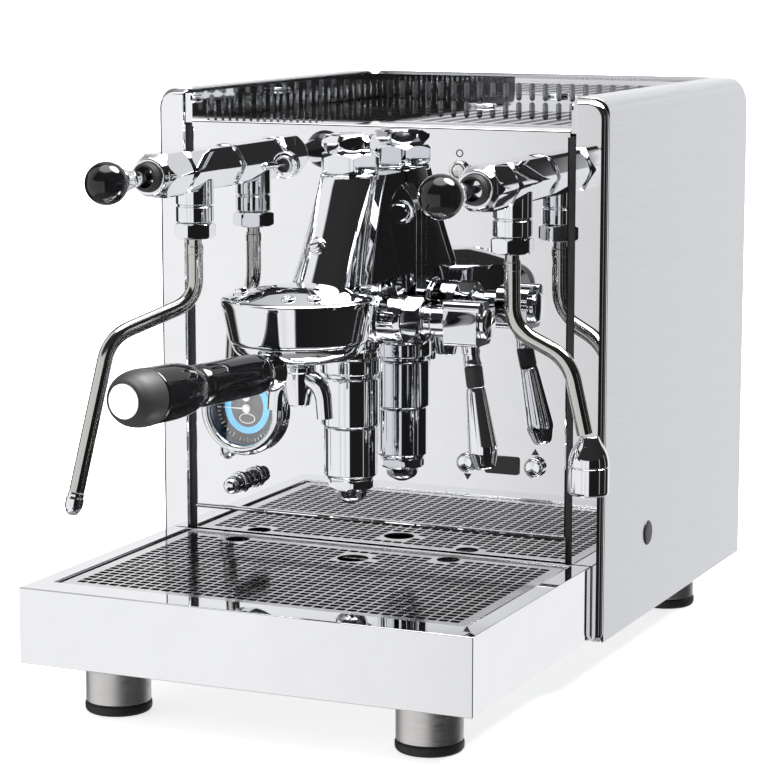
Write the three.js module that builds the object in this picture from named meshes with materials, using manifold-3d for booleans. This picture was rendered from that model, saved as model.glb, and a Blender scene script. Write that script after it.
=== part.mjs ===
// Espresso machine with a lever group, two ball-knob taps and a sliding drip tray.
// Millimetres. X runs to the right, Y to the back and Z up, and the feet stand on Z = 0.
// While it is built, Y = 0 is the front face of the casing. The last lines move the whole
// machine so that its origin is under the middle of its bounding box.
import * as THREE from 'three';
import { mergeVertices } from 'three/addons/utils/BufferGeometryUtils.js';
import Module from 'manifold-3d';

const wasm = await Module();
wasm.setup();

// ---------------------------------------------------------------- driving dimensions
const GAP = 0.3; // between pieces that touch
const SHEET = 1.5; // thickness of the folded steel

const CASE = { half: 150, bottom: 31, top: 361, back: 291, inner: 129.5, edge: 10, corner: 22 };
const PANEL = { y: 3, half: 131, bottom: 34, top: 338.7 };
const TRIM = { inner: 133, outer: 146.8, bottom: 79.8, top: 359, depth: 14 };
const PLATE = { top: 342, ledge: 340, half: 126.9, front: 1, back: 286 };
const RAIL = { half: 128.5, wall: 1.2, back: 287.5, bottom: 342.3, pitch: 10, slot: 3.6 };
const TRAY = { half: 144, front: -189, back: -1.5, bottom: 33.3, top: 79.2, rim: 12, frontRim: 21 };
const GRILLE = { half: 130.5, front: -166.5, back: -4, bottom: 72.3, top: 78 };
const FOOT = { radius: 20, height: 31, frontX: 101, frontY: -148, backX: 112, backY: 240 };
const TANK = { half: 117, front: 206, back: 278, bottom: 78, top: 332, wall: 2.5 };
const LID = { half: 122, front: 197.5, back: 283.5, knobX: -14, knobY: 209, knobRadius: 11 };

const GROUP = { y: -36, bellY: -108, bellRadius: 45.5, bellTop: 249, bellBottom: 223.2 };
const CAM = { z: 229, radius: 16, left: -27, right: 39 };
const TAP = { x: 105.5, z: 314, outletY: -37, pipeRadius: 4.9, knobY: -145 };
const GAUGE = { x: -91.6, z: 162.9, radius: 32, dialRadius: 27 };

// ---------------------------------------------------------------- geometry helpers
function signedVolume(position, index) {
  const [a, b, c] = [new THREE.Vector3(), new THREE.Vector3(), new THREE.Vector3()];
  let sum = 0;
  for (let i = 0; i < index.length; i += 3) {
    a.fromArray(position, 3 * index[i]);
    b.fromArray(position, 3 * index[i + 1]);
    c.fromArray(position, 3 * index[i + 2]);
    sum += a.dot(b.cross(c)) / 6;
  }
  return sum;
}

// A solid for joining and cutting, made of any closed geometry, with its faces pointing out.
function solid(shape) {
  if (!shape.isBufferGeometry) return shape;
  const bare = shape.clone();
  bare.deleteAttribute('normal');
  bare.deleteAttribute('uv');
  const merged = mergeVertices(bare, 1e-4);
  const position = merged.attributes.position.array;
  const found = merged.index.array;
  const corners = [];
  for (let i = 0; i < found.length; i += 3) {
    const [a, b, c] = [found[i], found[i + 1], found[i + 2]];
    if (a !== b && b !== c && c !== a) corners.push(a, b, c);
  }
  if (signedVolume(position, corners) < 0) corners.reverse();
  const triVerts = Uint32Array.from(corners);
  return new wasm.Manifold(new wasm.Mesh({ numProp: 3, vertProperties: position, triVerts }));
}

const join = (first, ...others) => others.reduce((sum, part) => sum.add(solid(part)), solid(first));
const cut = (first, ...tools) => tools.reduce((sum, part) => sum.subtract(solid(part)), solid(first));
const overlap = (first, second) => solid(first).intersect(solid(second));

function geometryOf(shape) {
  const mesh = solid(shape).getMesh();
  const geometry = new THREE.BufferGeometry();
  geometry.setAttribute('position', new THREE.BufferAttribute(mesh.vertProperties, 3));
  geometry.setIndex(new THREE.BufferAttribute(mesh.triVerts, 1));
  geometry.computeVertexNormals();
  return geometry;
}

// A box between two corners.
function slab(x0, x1, y0, y1, z0, z1) {
  const box = new THREE.BoxGeometry(x1 - x0, y1 - y0, z1 - z0);
  return box.translate((x0 + x1) / 2, (y0 + y1) / 2, (z0 + z1) / 2);
}

// A body turned about Z. Its outline is a list of [radius, height] points.
function turned(outline, sides = 16) {
  const points = outline.map(([radius, height]) => new THREE.Vector2(radius, height));
  return new THREE.LatheGeometry(points, sides).rotateX(Math.PI / 2);
}

const turnedRing = (outline, sides) => turned([...outline, outline[0]], sides);
const rod = (radius, z0, z1, sides = 16) => turned([[0, z0], [radius, z0], [radius, z1], [0, z1]], sides);

// A hexagonal bar about Z with one pair of flats facing along Y.
function hexBar(acrossFlats, z0, z1) {
  const bar = rod(acrossFlats / Math.sqrt(3), z0, z1, 6);
  return bar.rotateZ(Math.PI / 6);
}

const toFront = (geometry) => geometry.rotateX(Math.PI / 2); // +Z becomes -Y
const toRight = (geometry) => geometry.rotateY(Math.PI / 2); // +Z becomes +X

function outlineOf(points) {
  return new THREE.Shape(points.map(([x, y]) => new THREE.Vector2(x, y)));
}

// A rectangle and its corner radii: lower left, lower right, upper right, upper left.
function roundedRectangle(x0, x1, y0, y1, [lowerLeft, lowerRight, upperRight, upperLeft]) {
  const shape = new THREE.Shape();
  const corners = [
    [x0, y0, lowerLeft, 1, 1, Math.PI],
    [x1, y0, lowerRight, -1, 1, 1.5 * Math.PI],
    [x1, y1, upperRight, -1, -1, 0],
    [x0, y1, upperLeft, 1, -1, 0.5 * Math.PI],
  ];
  for (const [x, y, radius, toX, toY, start] of corners) {
    if (radius > 0) shape.absarc(x + toX * radius, y + toY * radius, radius, start, start + Math.PI / 2);
    else if (shape.curves.length > 0 || x !== x0) shape.lineTo(x, y);
    else shape.moveTo(x, y);
  }
  return shape;
}

function extruded(shape, depth, arcSteps = 4) {
  return new THREE.ExtrudeGeometry(shape, { depth, bevelEnabled: false, curveSegments: arcSteps });
}

// Shapes drawn as (x, z) and pulled from y0 to y1.
function pulledAlongY(shape, y0, y1, arcSteps) {
  return extruded(shape, y1 - y0, arcSteps).rotateX(Math.PI / 2).translate(0, y1, 0);
}

// Shapes drawn as (y, z) and pulled from x0 to x1.
function pulledAlongX(shape, x0, x1, arcSteps) {
  const pulled = extruded(shape, x1 - x0, arcSteps);
  return pulled.rotateX(Math.PI / 2).rotateZ(Math.PI / 2).translate(x0, 0, 0);
}

// A round rod bent along straight runs that are joined by smooth bends of the given setback.
function bentRod(corners, setback, radius, sides, steps) {
  const points = corners.map((corner) => new THREE.Vector3(...corner));
  const path = new THREE.CurvePath();
  let from = points[0];
  for (let i = 1; i < points.length - 1; i += 1) {
    const before = points[i].clone().lerp(points[i - 1], setback / points[i].distanceTo(points[i - 1]));
    const after = points[i].clone().lerp(points[i + 1], setback / points[i].distanceTo(points[i + 1]));
    path.add(new THREE.LineCurve3(from, before));
    path.add(new THREE.QuadraticBezierCurve3(before, points[i], after));
    from = after;
  }
  path.add(new THREE.LineCurve3(from, points[points.length - 1]));
  const section = new THREE.Shape().absarc(0, 0, radius, 0, 2 * Math.PI);
  const settings = { steps, extrudePath: path, curveSegments: sides / 2 };
  return new THREE.ExtrudeGeometry(section, settings);
}

// Turns a geometry built about Z so that its axis points along a direction, then moves it.
function aimed(geometry, direction, at) {
  const turn = new THREE.Quaternion();
  turn.setFromUnitVectors(new THREE.Vector3(0, 0, 1), new THREE.Vector3(...direction).normalize());
  return geometry.applyQuaternion(turn).translate(...at);
}

// ---------------------------------------------------------------- finishes
const finish = (color, metalness, roughness) =>
  new THREE.MeshStandardMaterial({ color, metalness, roughness });
const MIRROR = finish(0xe6e8eb, 1, 0.05);
const SATIN = finish(0xd7dade, 1, 0.3);
const CHROME = finish(0xdfe2e6, 1, 0.08);
const BRUSHED = finish(0xb9bcbf, 1, 0.35);
const GALVANISED = finish(0x9ba0a3, 0.9, 0.5);
const BRASS = finish(0xb99a5b, 1, 0.35);
const BLACK_GLOSS = finish(0x101113, 0, 0.12);
const BLACK_RUBBER = finish(0x1c1d1f, 0, 0.8);
const BLACK_PLASTIC = finish(0x151618, 0, 0.4);
const CLEAR_PLASTIC = finish(0xcfd8de, 0, 0.2);
const DIAL = finish(0x3c4043, 0, 0.5);
const WHITE = finish(0xf4f4f2, 0, 0.4);
const LAMP = finish(0x8fd08c, 0, 0.2);

const machine = new THREE.Group();

function piece(name, shape, material) {
  const mesh = new THREE.Mesh(geometryOf(shape), material);
  mesh.name = name;
  machine.add(mesh);
  return mesh;
}

// ---------------------------------------------------------------- casing
function baseFrame() {
  const floorTop = CASE.bottom + GAP + SHEET;
  const half = CASE.half - 2.5;
  const front = slab(-TRAY.half + 6, TRAY.half - 6, TRAY.front + 8, 10, CASE.bottom + GAP, floorTop);
  const back = slab(-half, half, 4.8, CASE.back - 2, CASE.bottom + GAP, floorTop);
  const upturn = (x) => slab(x, x + SHEET, 16, CASE.back - 2, CASE.bottom + GAP, floorTop + 18);
  const tankRest = (x) => slab(x, x + SHEET, TANK.front, TANK.back, floorTop - 1, TANK.bottom - GAP);
  return join(front, back, upturn(-half), upturn(half - SHEET), tankRest(-60), tankRest(60));
}

function sideShell(y0, grow) {
  const top = CASE.top + grow;
  const back = CASE.back + grow;
  const inner = grow < 0 ? 100 : CASE.inner;
  const bottom = grow < 0 ? 0 : CASE.bottom;
  const acrossOutline = roundedRectangle(inner, CASE.half + grow, bottom, top, [0, 0, CASE.edge + grow, 0]);
  const alongOutline = roundedRectangle(y0, back, bottom, top, [0, 0, CASE.corner + grow, 0]);
  return overlap(
    pulledAlongY(acrossOutline, y0, back + 1, 5),
    pulledAlongX(alongOutline, inner - 1, CASE.half + grow + 1, 6),
  );
}

function sidePanel() {
  return cut(sideShell(0.3, 0), sideShell(-20, -SHEET));
}

const mirrored = (shape) => solid(shape).scale([-1, 1, 1]);

// The strip that closes a side of the casing at the front, with its inward fold.
function frontTrim() {
  const outline = roundedRectangle(TRIM.inner, TRIM.outer, TRIM.bottom, TRIM.top, [0, 8, 9, 0]);
  const face = pulledAlongY(outline, 0, SHEET, 4);
  const fold = slab(TRIM.inner, TRIM.inner + SHEET, 0.5, TRIM.depth, TRIM.bottom, TRIM.top);
  return join(face, fold);
}

const BUTTONS = { down: [61.3, 136.8], up: [105.8, 136.8], radius: 5.4 };
const DISPLAY = { x0: 73, x1: 95.4, z0: 131, z1: 142 };
const SWITCH = { x: -61.8, z: 315.5 };
const LAMP_PLACE = { x: 55.1, z: 316 };
const ADJUSTER = { x: -91, z: 113.4 };

function frontPanel() {
  const sheet = slab(-PANEL.half, PANEL.half, PANEL.y, PANEL.y + SHEET, PANEL.bottom, PANEL.top);
  const hole = (x, z, radius, sides = 12) =>
    toFront(rod(radius, -10, 10, sides)).translate(x, PANEL.y, z);
  return cut(
    sheet,
    hole(0, 285, 18), hole(0, 236, 18),
    hole(-TAP.x, TAP.z, 10), hole(TAP.x, TAP.z, 10),
    hole(GAUGE.x, GAUGE.z, 28.8, 20),
    hole(SWITCH.x, SWITCH.z, 6.3), hole(LAMP_PLACE.x, LAMP_PLACE.z, 4.6),
    hole(...BUTTONS.down, BUTTONS.radius + GAP), hole(...BUTTONS.up, BUTTONS.radius + GAP),
    hole(ADJUSTER.x, ADJUSTER.z, 4.6),
    slab(DISPLAY.x0 + 1, DISPLAY.x1 - 1, 0, 9, DISPLAY.z0 + 1, DISPLAY.z1 - 1),
  );
}

function splashPlate() {
  const face = slab(-126.5, 126.5, 1.2, PANEL.y - GAP, 79.6, 95);
  const lip = slab(-126.5, 126.5, -0.6, PANEL.y - GAP, 93.2, 95);
  return join(face, lip);
}

const INLET = { x: -88, z: 62, halfWidth: 14, halfHeight: 11 };

function rearPanel() {
  const sheet = slab(-CASE.inner + GAP, CASE.inner - GAP, CASE.back - SHEET, CASE.back, 34, CASE.top);
  const vents = [];
  for (let column = 0; column < 9; column += 1) {
    const x = 15 * (column - 4);
    vents.push(slab(x - 2.5, x + 2.5, CASE.back - 9, CASE.back + 9, 255, 300));
  }
  const inlet = slab(
    INLET.x - INLET.halfWidth + 1, INLET.x + INLET.halfWidth - 1, CASE.back - 9, CASE.back + 9,
    INLET.z - INLET.halfHeight + 1, INLET.z + INLET.halfHeight - 1,
  );
  return cut(sheet, ...vents, inlet);
}

function powerInlet() {
  const { x, z, halfWidth, halfHeight } = INLET;
  const [w, h] = [halfWidth, halfHeight];
  const flange = slab(x - w, x + w, CASE.back + GAP, CASE.back + 2.5, z - h, z + h);
  const body = slab(x - w + 2, x + w - 2, CASE.back - 22, CASE.back + 1, z - h + 2, z + h - 2);
  const socket = slab(x - w + 4.5, x + w - 4.5, CASE.back - 16, CASE.back + 9, z - h + 4.5, z + h - 4.5);
  return cut(join(flange, body), socket);
}

// The cups' sheet, with a lower seat for the tank's lid at the back and a well in it for the tank.
function cupTray() {
  const { half, front, back, top, ledge } = PLATE;
  const step = LID.front - 1;
  const plate = slab(-half, half, front, step, top - SHEET, top);
  const lip = slab(-half, half, front, front + SHEET, top - 4, top);
  const riser = slab(-half, half, step - SHEET, step, ledge - SHEET, top);
  const seat = slab(-half, half, step - SHEET, back, ledge - SHEET, ledge);
  const well = slab(-TANK.half - 2.5, TANK.half + 2.5, TANK.front - 2.5, TANK.back + 2.5, 300, 400);
  return cut(join(plate, lip, riser, seat), well);
}

function cupRail() {
  const { half, wall, back, bottom } = RAIL;
  const top = CASE.top - 0.1;
  const walls = join(
    slab(-half, -half + wall, 2, back, bottom, top),
    slab(half - wall, half, 2, back, bottom, top),
    slab(-half, half, back - wall, back, bottom, top),
    slab(-half, half, back - wall, CASE.back - SHEET - GAP, top - wall, top),
  );
  const slots = [];
  const slotAt = (x, y, halfX, halfY) =>
    slab(x - halfX, x + halfX, y - halfY, y + halfY, bottom + 1.7, top - 5.5);
  for (let i = 0; i < 26; i += 1) {
    const y = 23.5 + RAIL.pitch * i;
    slots.push(slotAt(-half, y, 3, RAIL.slot / 2), slotAt(half, y, 3, RAIL.slot / 2));
  }
  for (let i = 0; i < 24; i += 1) {
    slots.push(slotAt(RAIL.pitch * (i - 11.5), back - wall / 2, RAIL.slot / 2, 1));
  }
  return cut(walls, ...slots);
}

function tankLid() {
  const { half, front, back } = LID;
  const bottom = PLATE.ledge + GAP;
  const sheet = slab(-half, half, front, back, bottom, bottom + SHEET);
  const skirt = cut(
    slab(-TANK.half - 1, TANK.half + 1, TANK.front - 1, TANK.back + 1, bottom - 5, bottom + 1),
    slab(-TANK.half + 1, TANK.half - 1, TANK.front + 1, TANK.back - 1, bottom - 9, bottom + 1.2),
  );
  const knob = turned([[0, 0], [8, 0], [LID.knobRadius, 2.4], [LID.knobRadius, 4], [9, 5], [0, 5]], 20);
  return join(sheet, skirt, knob.translate(LID.knobX, LID.knobY, bottom + 1.2));
}

function waterTank() {
  const { half, front, back, bottom, top, wall } = TANK;
  const block = slab(-half, half, front, back, bottom, top);
  return cut(block, slab(-half + wall, half - wall, front + wall, back - wall, bottom + wall, top + 1));
}

function foot() {
  const r = FOOT.radius;
  const steel = r - 0.6;
  return turned([
    [0, 0], [r - 2, 0], [r, 2], [r, 6], [steel, 6.4], [steel, FOOT.height], [0, FOOT.height],
  ], 24);
}

// ---------------------------------------------------------------- drip tray
function dripTray() {
  const { half, front, back, bottom, top, rim, frontRim } = TRAY;
  const openHalf = half - rim;
  const openFront = front + frontRim;
  const frame = (x, y0, z0, z1) => slab(-x, x, y0, back, z0, z1);
  const shell = cut(
    frame(half, front, bottom, top),
    slab(-half + SHEET, half - SHEET, front + SHEET, back - SHEET, bottom + SHEET, top - SHEET),
    slab(-openHalf, openHalf, openFront, back - SHEET, top - 5, top + 1),
  );
  const hem = cut(
    frame(openHalf + SHEET, openFront - SHEET, GRILLE.bottom - GAP - SHEET, top),
    slab(-openHalf, openHalf, openFront, back - SHEET, GRILLE.bottom - GAP, top + 1),
    slab(-openHalf + 5, openHalf - 5, openFront + 5, back - 5, 50, top + 1),
  );
  return join(shell, hem);
}

function dripGrille() {
  const { half, front, back, bottom, top } = GRILLE;
  const hole = (x, y, radius) => rod(radius, 60, 90, 16).translate(x, y, 0);
  const under = slab(-half + SHEET, half - SHEET, front + SHEET, back - SHEET, bottom - 1, top - SHEET);
  return cut(
    slab(-half, half, front, back, bottom, top), under,
    hole(0, -36, 9.8), hole(-89.5, -16, 7.8), hole(55.7, -16, 7.2),
  );
}

// ---------------------------------------------------------------- brewing group
function groupBody() {
  const { y, bellY, bellRadius: r, bellTop, bellBottom } = GROUP;
  const bell = turned([
    [0, bellTop + 9], [16, bellTop + 9], [24, bellTop + 4], [r - 2, bellTop], [r, bellTop - 2.5],
    [r - 0.5, bellTop - 12], [r - 3, bellBottom], [37.5, bellBottom], [37.5, bellTop - 6], [0, bellTop - 6],
  ], 30).translate(0, bellY, 0);
  const towerOutline = outlineOf([[y - 17, 315], [y + 17, 315], [y + 24, 250], [-89, 250], [-86, 259]]);
  const tower = pulledAlongX(towerOutline, -19.5, 19.5);
  const spine = rod(24, bellTop, 313, 24).translate(0, y + 2, 0);
  const column = rod(19, 194, 300, 24).translate(0, y, 0);
  const bridge = slab(-19, 19, -74, y, 223, bellTop + 3);
  const camHousing = toRight(rod(CAM.radius, CAM.left, CAM.right, 20)).translate(0, y - 2, CAM.z);
  const neck = (z) => toFront(rod(16.5, -20, -y, 20)).translate(0, 0, z);
  const flange = pulledAlongY(
    roundedRectangle(-30, 30, 210, 312, [26, 26, 26, 26]), -5, PANEL.y - GAP, 3,
  );
  const whole = join(tower, spine, column, bridge, camHousing, neck(285), neck(236), flange, bell);
  const bellHollow = rod(37.5, bellBottom - 5, bellTop - 6, 30).translate(0, bellY, 0);
  return cut(whole, bellHollow);
}

function mushroomCap() {
  const nut = hexBar(33.5, 315 + GAP, 328.6);
  const cap = turned([
    [0, 328], [16, 328], [17.8, 330.5], [17.8, 335], [15, 338.6], [11, 339.6], [0, 339.6],
  ], 24);
  return join(nut, cap).translate([0, GROUP.y, 0]);
}

function infusionChamber() {
  return turned([
    [0, 162], [17, 162], [17.9, 163], [17.9, 191.5], [16.5, 193.7], [0, 193.7],
  ], 24).translate(0, GROUP.y, 0);
}

function drainValve() {
  const barrel = turned([[0, 130.6], [14, 130.6], [16.3, 132], [16.3, 161.7], [0, 161.7]], 24);
  const nut = hexBar(25.5, 124, 131);
  const dome = turned([[0, 114.8], [4, 115], [8, 117.2], [10, 121], [10, 124.5], [0, 124.5]], 16);
  return join(barrel, nut, dome).translate([0, GROUP.y, 0]);
}

function camNut() {
  const nut = hexBar(26, CAM.right + GAP, CAM.right + 12);
  const collar = rod(9.4, CAM.right + 11, CAM.right + 27, 20);
  const bore = rod(5.2, CAM.right + 4, CAM.right + 40, 16);
  return toRightSolid(cut(join(nut, collar), bore), 0, GROUP.y - 2, CAM.z);
}

function toRightSolid(shape, x, y, z) {
  return solid(shape).rotate([0, 90, 0]).translate([x, y, z]);
}

const LEVER = { top: [79.6, -38, 217], direction: [11.7, -6.4, -66.5] };

function leverHub() {
  const block = pulledAlongX(roundedRectangle(-50, -26, 216, 242, [3, 4, 9, 4]), 67, 88, 3);
  const roll = toRight(rod(4.2, 67, 90.5, 12)).translate(0, -46, 238.6);
  const shaft = toRight(rod(4.8, CAM.right + 5, 70, 16)).translate(0, -38, CAM.z);
  const endNut = toRight(rod(9.5, 87, 93, 16)).translate(0, -38, CAM.z);
  const socket = aimed(rod(4.6, -4, 8, 16), [-11.7, 6.4, 66.5], LEVER.top);
  return cut(join(block, roll, shaft, endNut), socket);
}

const leverPiece = (outline) => aimed(turned(outline, 16), LEVER.direction, LEVER.top);

function leverGrip() {
  return leverPiece([
    [0, -6], [4.2, -6], [4.2, 3], [5.2, 3], [5.2, 13.4], [4.2, 13.4], [4.2, 26.6], [5.5, 26.6],
    [8.9, 64], [8.4, 67], [6.2, 75], [5.6, 75.6], [0, 75.6],
  ]);
}

function leverSleeve() {
  return aimed(
    turnedRing([[4.5, 13.7], [5.8, 13.7], [5.8, 26.3], [4.5, 26.3]], 16), LEVER.direction, LEVER.top,
  );
}

function showerScreen() {
  return turned([[0, 236.4], [28, 236.4], [29, 237.4], [36, 238.9], [36, 243], [0, 243]], 28)
    .translate(0, GROUP.bellY, 0);
}

// ---------------------------------------------------------------- portafilter
const HANDLE = { swing: 6, rise: 1.3, z: 208.4 };
const swing = THREE.MathUtils.degToRad(HANDLE.swing);
const rise = THREE.MathUtils.degToRad(HANDLE.rise);
const HANDLE_DIRECTION = [-Math.sin(swing), -Math.cos(swing), Math.sin(rise)];

// Handle outlines give [radius, distance from the middle of the bell].
const handlePiece = (outline, sides = 20) =>
  aimed(turned(outline, sides), HANDLE_DIRECTION, [0, GROUP.bellY, HANDLE.z]);

function portafilterBody() {
  const cup = turned([
    [0, 210.6], [9, 210.6], [24, 211.6], [32, 213], [38, 216], [39.5, 222.8], [34, 222.8],
    [34, 234.7], [30.3, 234.7], [30.3, 214.8], [7, 214.8], [7, 213], [0, 213],
  ], 26).translate(0, GROUP.bellY, 0);
  const ear = slab(-1.5, 1.5, GROUP.bellY - 6, GROUP.bellY + 6, 229.2, 233.7);
  const lug = (side) => ear.clone().translate(side * 34.6, 0, 0);
  const neck = handlePiece([[0, 30.6], [9.4, 30.6], [9.2, 34], [8.6, 40], [9.8, 42], [9.8, 45], [0, 45]], 14);
  return join(cup, lug(-1), lug(1), neck);
}

function filterBasket() {
  return turned([
    [0, 215.2], [27, 215.2], [29, 217.2], [29.6, 235], [33.5, 235], [33.5, 236.2],
    [28.6, 236.2], [28, 217.8], [26.5, 216.2], [0, 216.2],
  ], 24).translate(0, GROUP.bellY, 0);
}

function portafilterSpout() {
  const hub = turned([[0, 189], [5, 189.5], [8.6, 192], [9, 196], [9, 207], [8.2, 210.3], [0, 210.3]], 16);
  const arm = (side) => {
    const corners = [[side * 3, 0, 201.5], [side * 15.8, 0, 200], [side * 17.2, 0, 178.4]];
    return bentRod(corners, 10, 4.7, 8, 7);
  };
  return join(hub, arm(-1), arm(1)).translate([0, GROUP.bellY, 0]);
}

function portafilterGrip() {
  return handlePiece([
    [0, 45.3], [10.6, 45.3], [11.6, 47], [11.9, 104], [11, 108], [11, 111.5], [12.2, 113],
    [15.1, 126], [15.6, 154.6], [0, 154.6],
  ], 20);
}

function gripEndCap() {
  return handlePiece([
    [0, 155], [15.6, 155], [15.8, 164], [14.6, 170], [11.6, 174.6], [10, 175.6], [0, 175.6],
  ], 24);
}

// ---------------------------------------------------------------- taps
function tapBody() {
  const barrel = hexBar(25, 6, 59.5);
  const rearCollar = rod(13.5, -PANEL.y + GAP, 6.5, 20);
  const tail = rod(9.6, -24, 1, 16);
  const front = rod(12.4, 59, 62.7, 20);
  const along = toFrontSolid(join(barrel, rearCollar, tail, front), 0, 0, TAP.z);
  const outlet = rod(11.7, 281.7, TAP.z, 20).translate(0, TAP.outletY, 0);
  return join(along, outlet);
}

function toFrontSolid(shape, x, y, z) {
  return solid(shape).rotate([90, 0, 0]).translate([x, y, z]);
}

function tapCapNut() {
  const nut = hexBar(26.5, 63, 93);
  const nose = turned([[0, 92.5], [13.2, 92.5], [11.6, 96], [0, 96]], 20);
  const boot = turned([[0, 95], [8.8, 95], [8.8, 97.5], [7.4, 101], [0, 101]], 16);
  const bore = turned([[0, 82], [7.4, 82], [7.4, 94], [6.3, 102], [0, 102]], 16);
  return toFrontSolid(cut(join(nut, nose, boot), bore), 0, 0, TAP.z);
}

function tapStem() {
  const outline = [[0, 84], [2.4, 84], [2.4, 103], [4.2, 105], [7.4, 128], [7.8, 132.4], [0, 132.4]];
  return toFront(turned(outline, 16)).translate(0, 0, TAP.z);
}

function tapKnob() {
  const radius = 13;
  const centre = -TAP.knobY;
  const outline = [[0, 132.7], [7.6, 132.7]];
  const first = Math.PI - Math.asin(7.6 / radius);
  const rings = 7;
  for (let i = 1; i <= rings; i += 1) {
    const angle = first * (1 - i / rings);
    outline.push([radius * Math.sin(angle), centre + radius * Math.cos(angle)]);
  }
  return toFront(turned(outline, 16)).translate(0, 0, TAP.z);
}

function outletNut() {
  const nut = hexBar(23.2, 271.9, 281.4);
  const bore = turned([[0, 270], [5, 270], [7, 277], [7, 282], [0, 282]], 16);
  return cut(nut, bore).translate([0, TAP.outletY, 0]);
}

// A tap pipe hangs from its ball in the outlet nut, in the vertical plane along a direction.
function tapPipe(direction, corners, steps) {
  const [dx, dy] = direction;
  const route = corners.map(([along, z]) => [along * dx, TAP.outletY + along * dy, z]);
  const ball = turned([[0, 272.5], [4, 272.5], [6.2, 275.5], [6.2, 278.5], [4, 281], [0, 281]], 16);
  const neck = rod(4.4, 262, 274, 16).translate(0, TAP.outletY, 0);
  return join(bentRod(route, 13, TAP.pipeRadius, 10, steps), neck, ball.translate(0, TAP.outletY, 0));
}

// Each pipe's corners are [distance from the tap's axis, height].
const WAND = { direction: [-0.642, -0.767], corners: [[0, 266], [0, 233], [57, 213], [80.2, 118.5]] };
const SPOUT = { direction: [0.989, 0.146], corners: [[0, 266], [0.4, 227.5], [35, 210], [44.8, 166]] };

function steamTip() {
  const [before, end] = WAND.corners.slice(-2);
  const [dx, dy] = WAND.direction;
  const slope = [(end[0] - before[0]) * dx, (end[0] - before[0]) * dy, end[1] - before[1]];
  const outline = [[0, 0.3], [4.9, 0.3], [5.7, 4], [5.7, 9], [4.6, 13], [2.4, 15], [0, 15]];
  return aimed(turned(outline, 16), slope, [end[0] * dx, TAP.outletY + end[0] * dy, end[1]]);
}

function waterNozzle() {
  const [along] = SPOUT.corners[SPOUT.corners.length - 1];
  const [dx, dy] = SPOUT.direction;
  const outline = [
    [0, 130], [11.6, 130], [12.3, 131], [12.3, 151], [11, 156], [7.4, 160.5], [6.2, 161], [6.2, 165],
    [0, 165],
  ];
  const at = along + 2.6;
  return turned(outline, 20).translate(at * dx, TAP.outletY + at * dy, 0);
}

// ---------------------------------------------------------------- controls on the front
function gaugeCase() {
  const { radius, dialRadius } = GAUGE;
  const seat = -PANEL.y + GAP;
  const outline = [
    [0, -34], [24, -34], [28, -30], [28, seat], [radius, seat], [radius, 3],
    [radius - 1.6, 5.6], [radius - 3.4, 6.2], [dialRadius, 4.6], [dialRadius, 0], [0, 0],
  ];
  return toFront(turned(outline, 26)).translate(GAUGE.x, 0, GAUGE.z);
}

// A needle that points left at rest, on its own hub above or below the middle of the dial.
function gaugeNeedle(above) {
  const hub = rod(2.6, 0.5, 1.4, 12);
  const blade = slab(-17, 0, -0.5, 0.5, 0.5, 1);
  return toFrontSolid(join(hub, blade), GAUGE.x, 0, GAUGE.z + above);
}

function toggleSwitch() {
  const seat = -PANEL.y + GAP;
  const outline = [[0, -22], [5.8, -22], [5.8, seat], [8.4, seat], [8.4, -0.6], [7.4, 1.6], [0, 1.6]];
  const bore = turned([[0, -6], [4.4, -6], [4.4, 5], [0, 5]], 12);
  return toFrontSolid(cut(turned(outline, 20), bore), SWITCH.x, 0, SWITCH.z);
}

const TOGGLE_LEAN = THREE.MathUtils.degToRad(28);

function toggleBat() {
  const bat = turned([[0, -2.5], [1.5, -2.5], [1.5, 4], [2.5, 17], [1.4, 18.4], [0, 18.4]], 12);
  const direction = [-Math.sin(TOGGLE_LEAN), -Math.cos(TOGGLE_LEAN), 0];
  return aimed(bat, direction, [SWITCH.x, 1.5, SWITCH.z]);
}

function pilotLamp() {
  const seat = -PANEL.y + GAP;
  const outline = [[0, -20], [4.3, -20], [4.3, seat], [5.8, seat], [5.8, -0.8], [4, 1], [0, 1.8]];
  return toFront(turned(outline, 16)).translate(LAMP_PLACE.x, 0, LAMP_PLACE.z);
}

function pushButton([x, z]) {
  const outline = [[0, -9], [BUTTONS.radius, -9], [BUTTONS.radius, 0.2], [4.2, 1.8], [0, 2.2]];
  return toFront(turned(outline, 16)).translate(x, 0, z);
}

function displayWindow() {
  const { x0, x1, z0, z1 } = DISPLAY;
  const front = slab(x0, x1, PANEL.y - 1.2, PANEL.y - GAP, z0, z1);
  const body = slab(x0 + 1.5, x1 - 1.5, PANEL.y - 1, PANEL.y + 12, z0 + 1.5, z1 - 1.5);
  return join(front, body);
}

function pressureAdjuster() {
  const outline = [
    [0, -14], [4.2, -14], [4.2, -PANEL.y + GAP], [4.6, -PANEL.y + GAP], [4.6, 3], [7.2, 3], [7.2, 11],
    [5.6, 12], [5.6, 19], [4.4, 22.5], [2, 24], [0, 24.2],
  ];
  return toFront(turned(outline, 16)).translate(ADJUSTER.x, 0, ADJUSTER.z);
}

// ---------------------------------------------------------------- inside the casing
function steamBoiler() {
  const shell = turned([
    [0, -195], [38, -195], [52, -188], [55, -180], [55, -52], [62, -52], [62, -44], [20, -44],
    [20, -40], [0, -40],
  ], 24);
  const standpipe = rod(5, 40, 70, 10);
  const vessel = toFrontSolid(shell, 8, 0, 235);
  return join(vessel, standpipe.translate(8, 130, 235));
}

function pump() {
  const coil = slab(45, 97, 70, 118, 40, 88);
  const barrel = toFront(rod(13, -160, -40, 16)).translate(71, 0, 64);
  const bracket = slab(40, 102, 88, 94, CASE.bottom + GAP + SHEET + GAP, 62);
  return join(coil, barrel, bracket);
}

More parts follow.
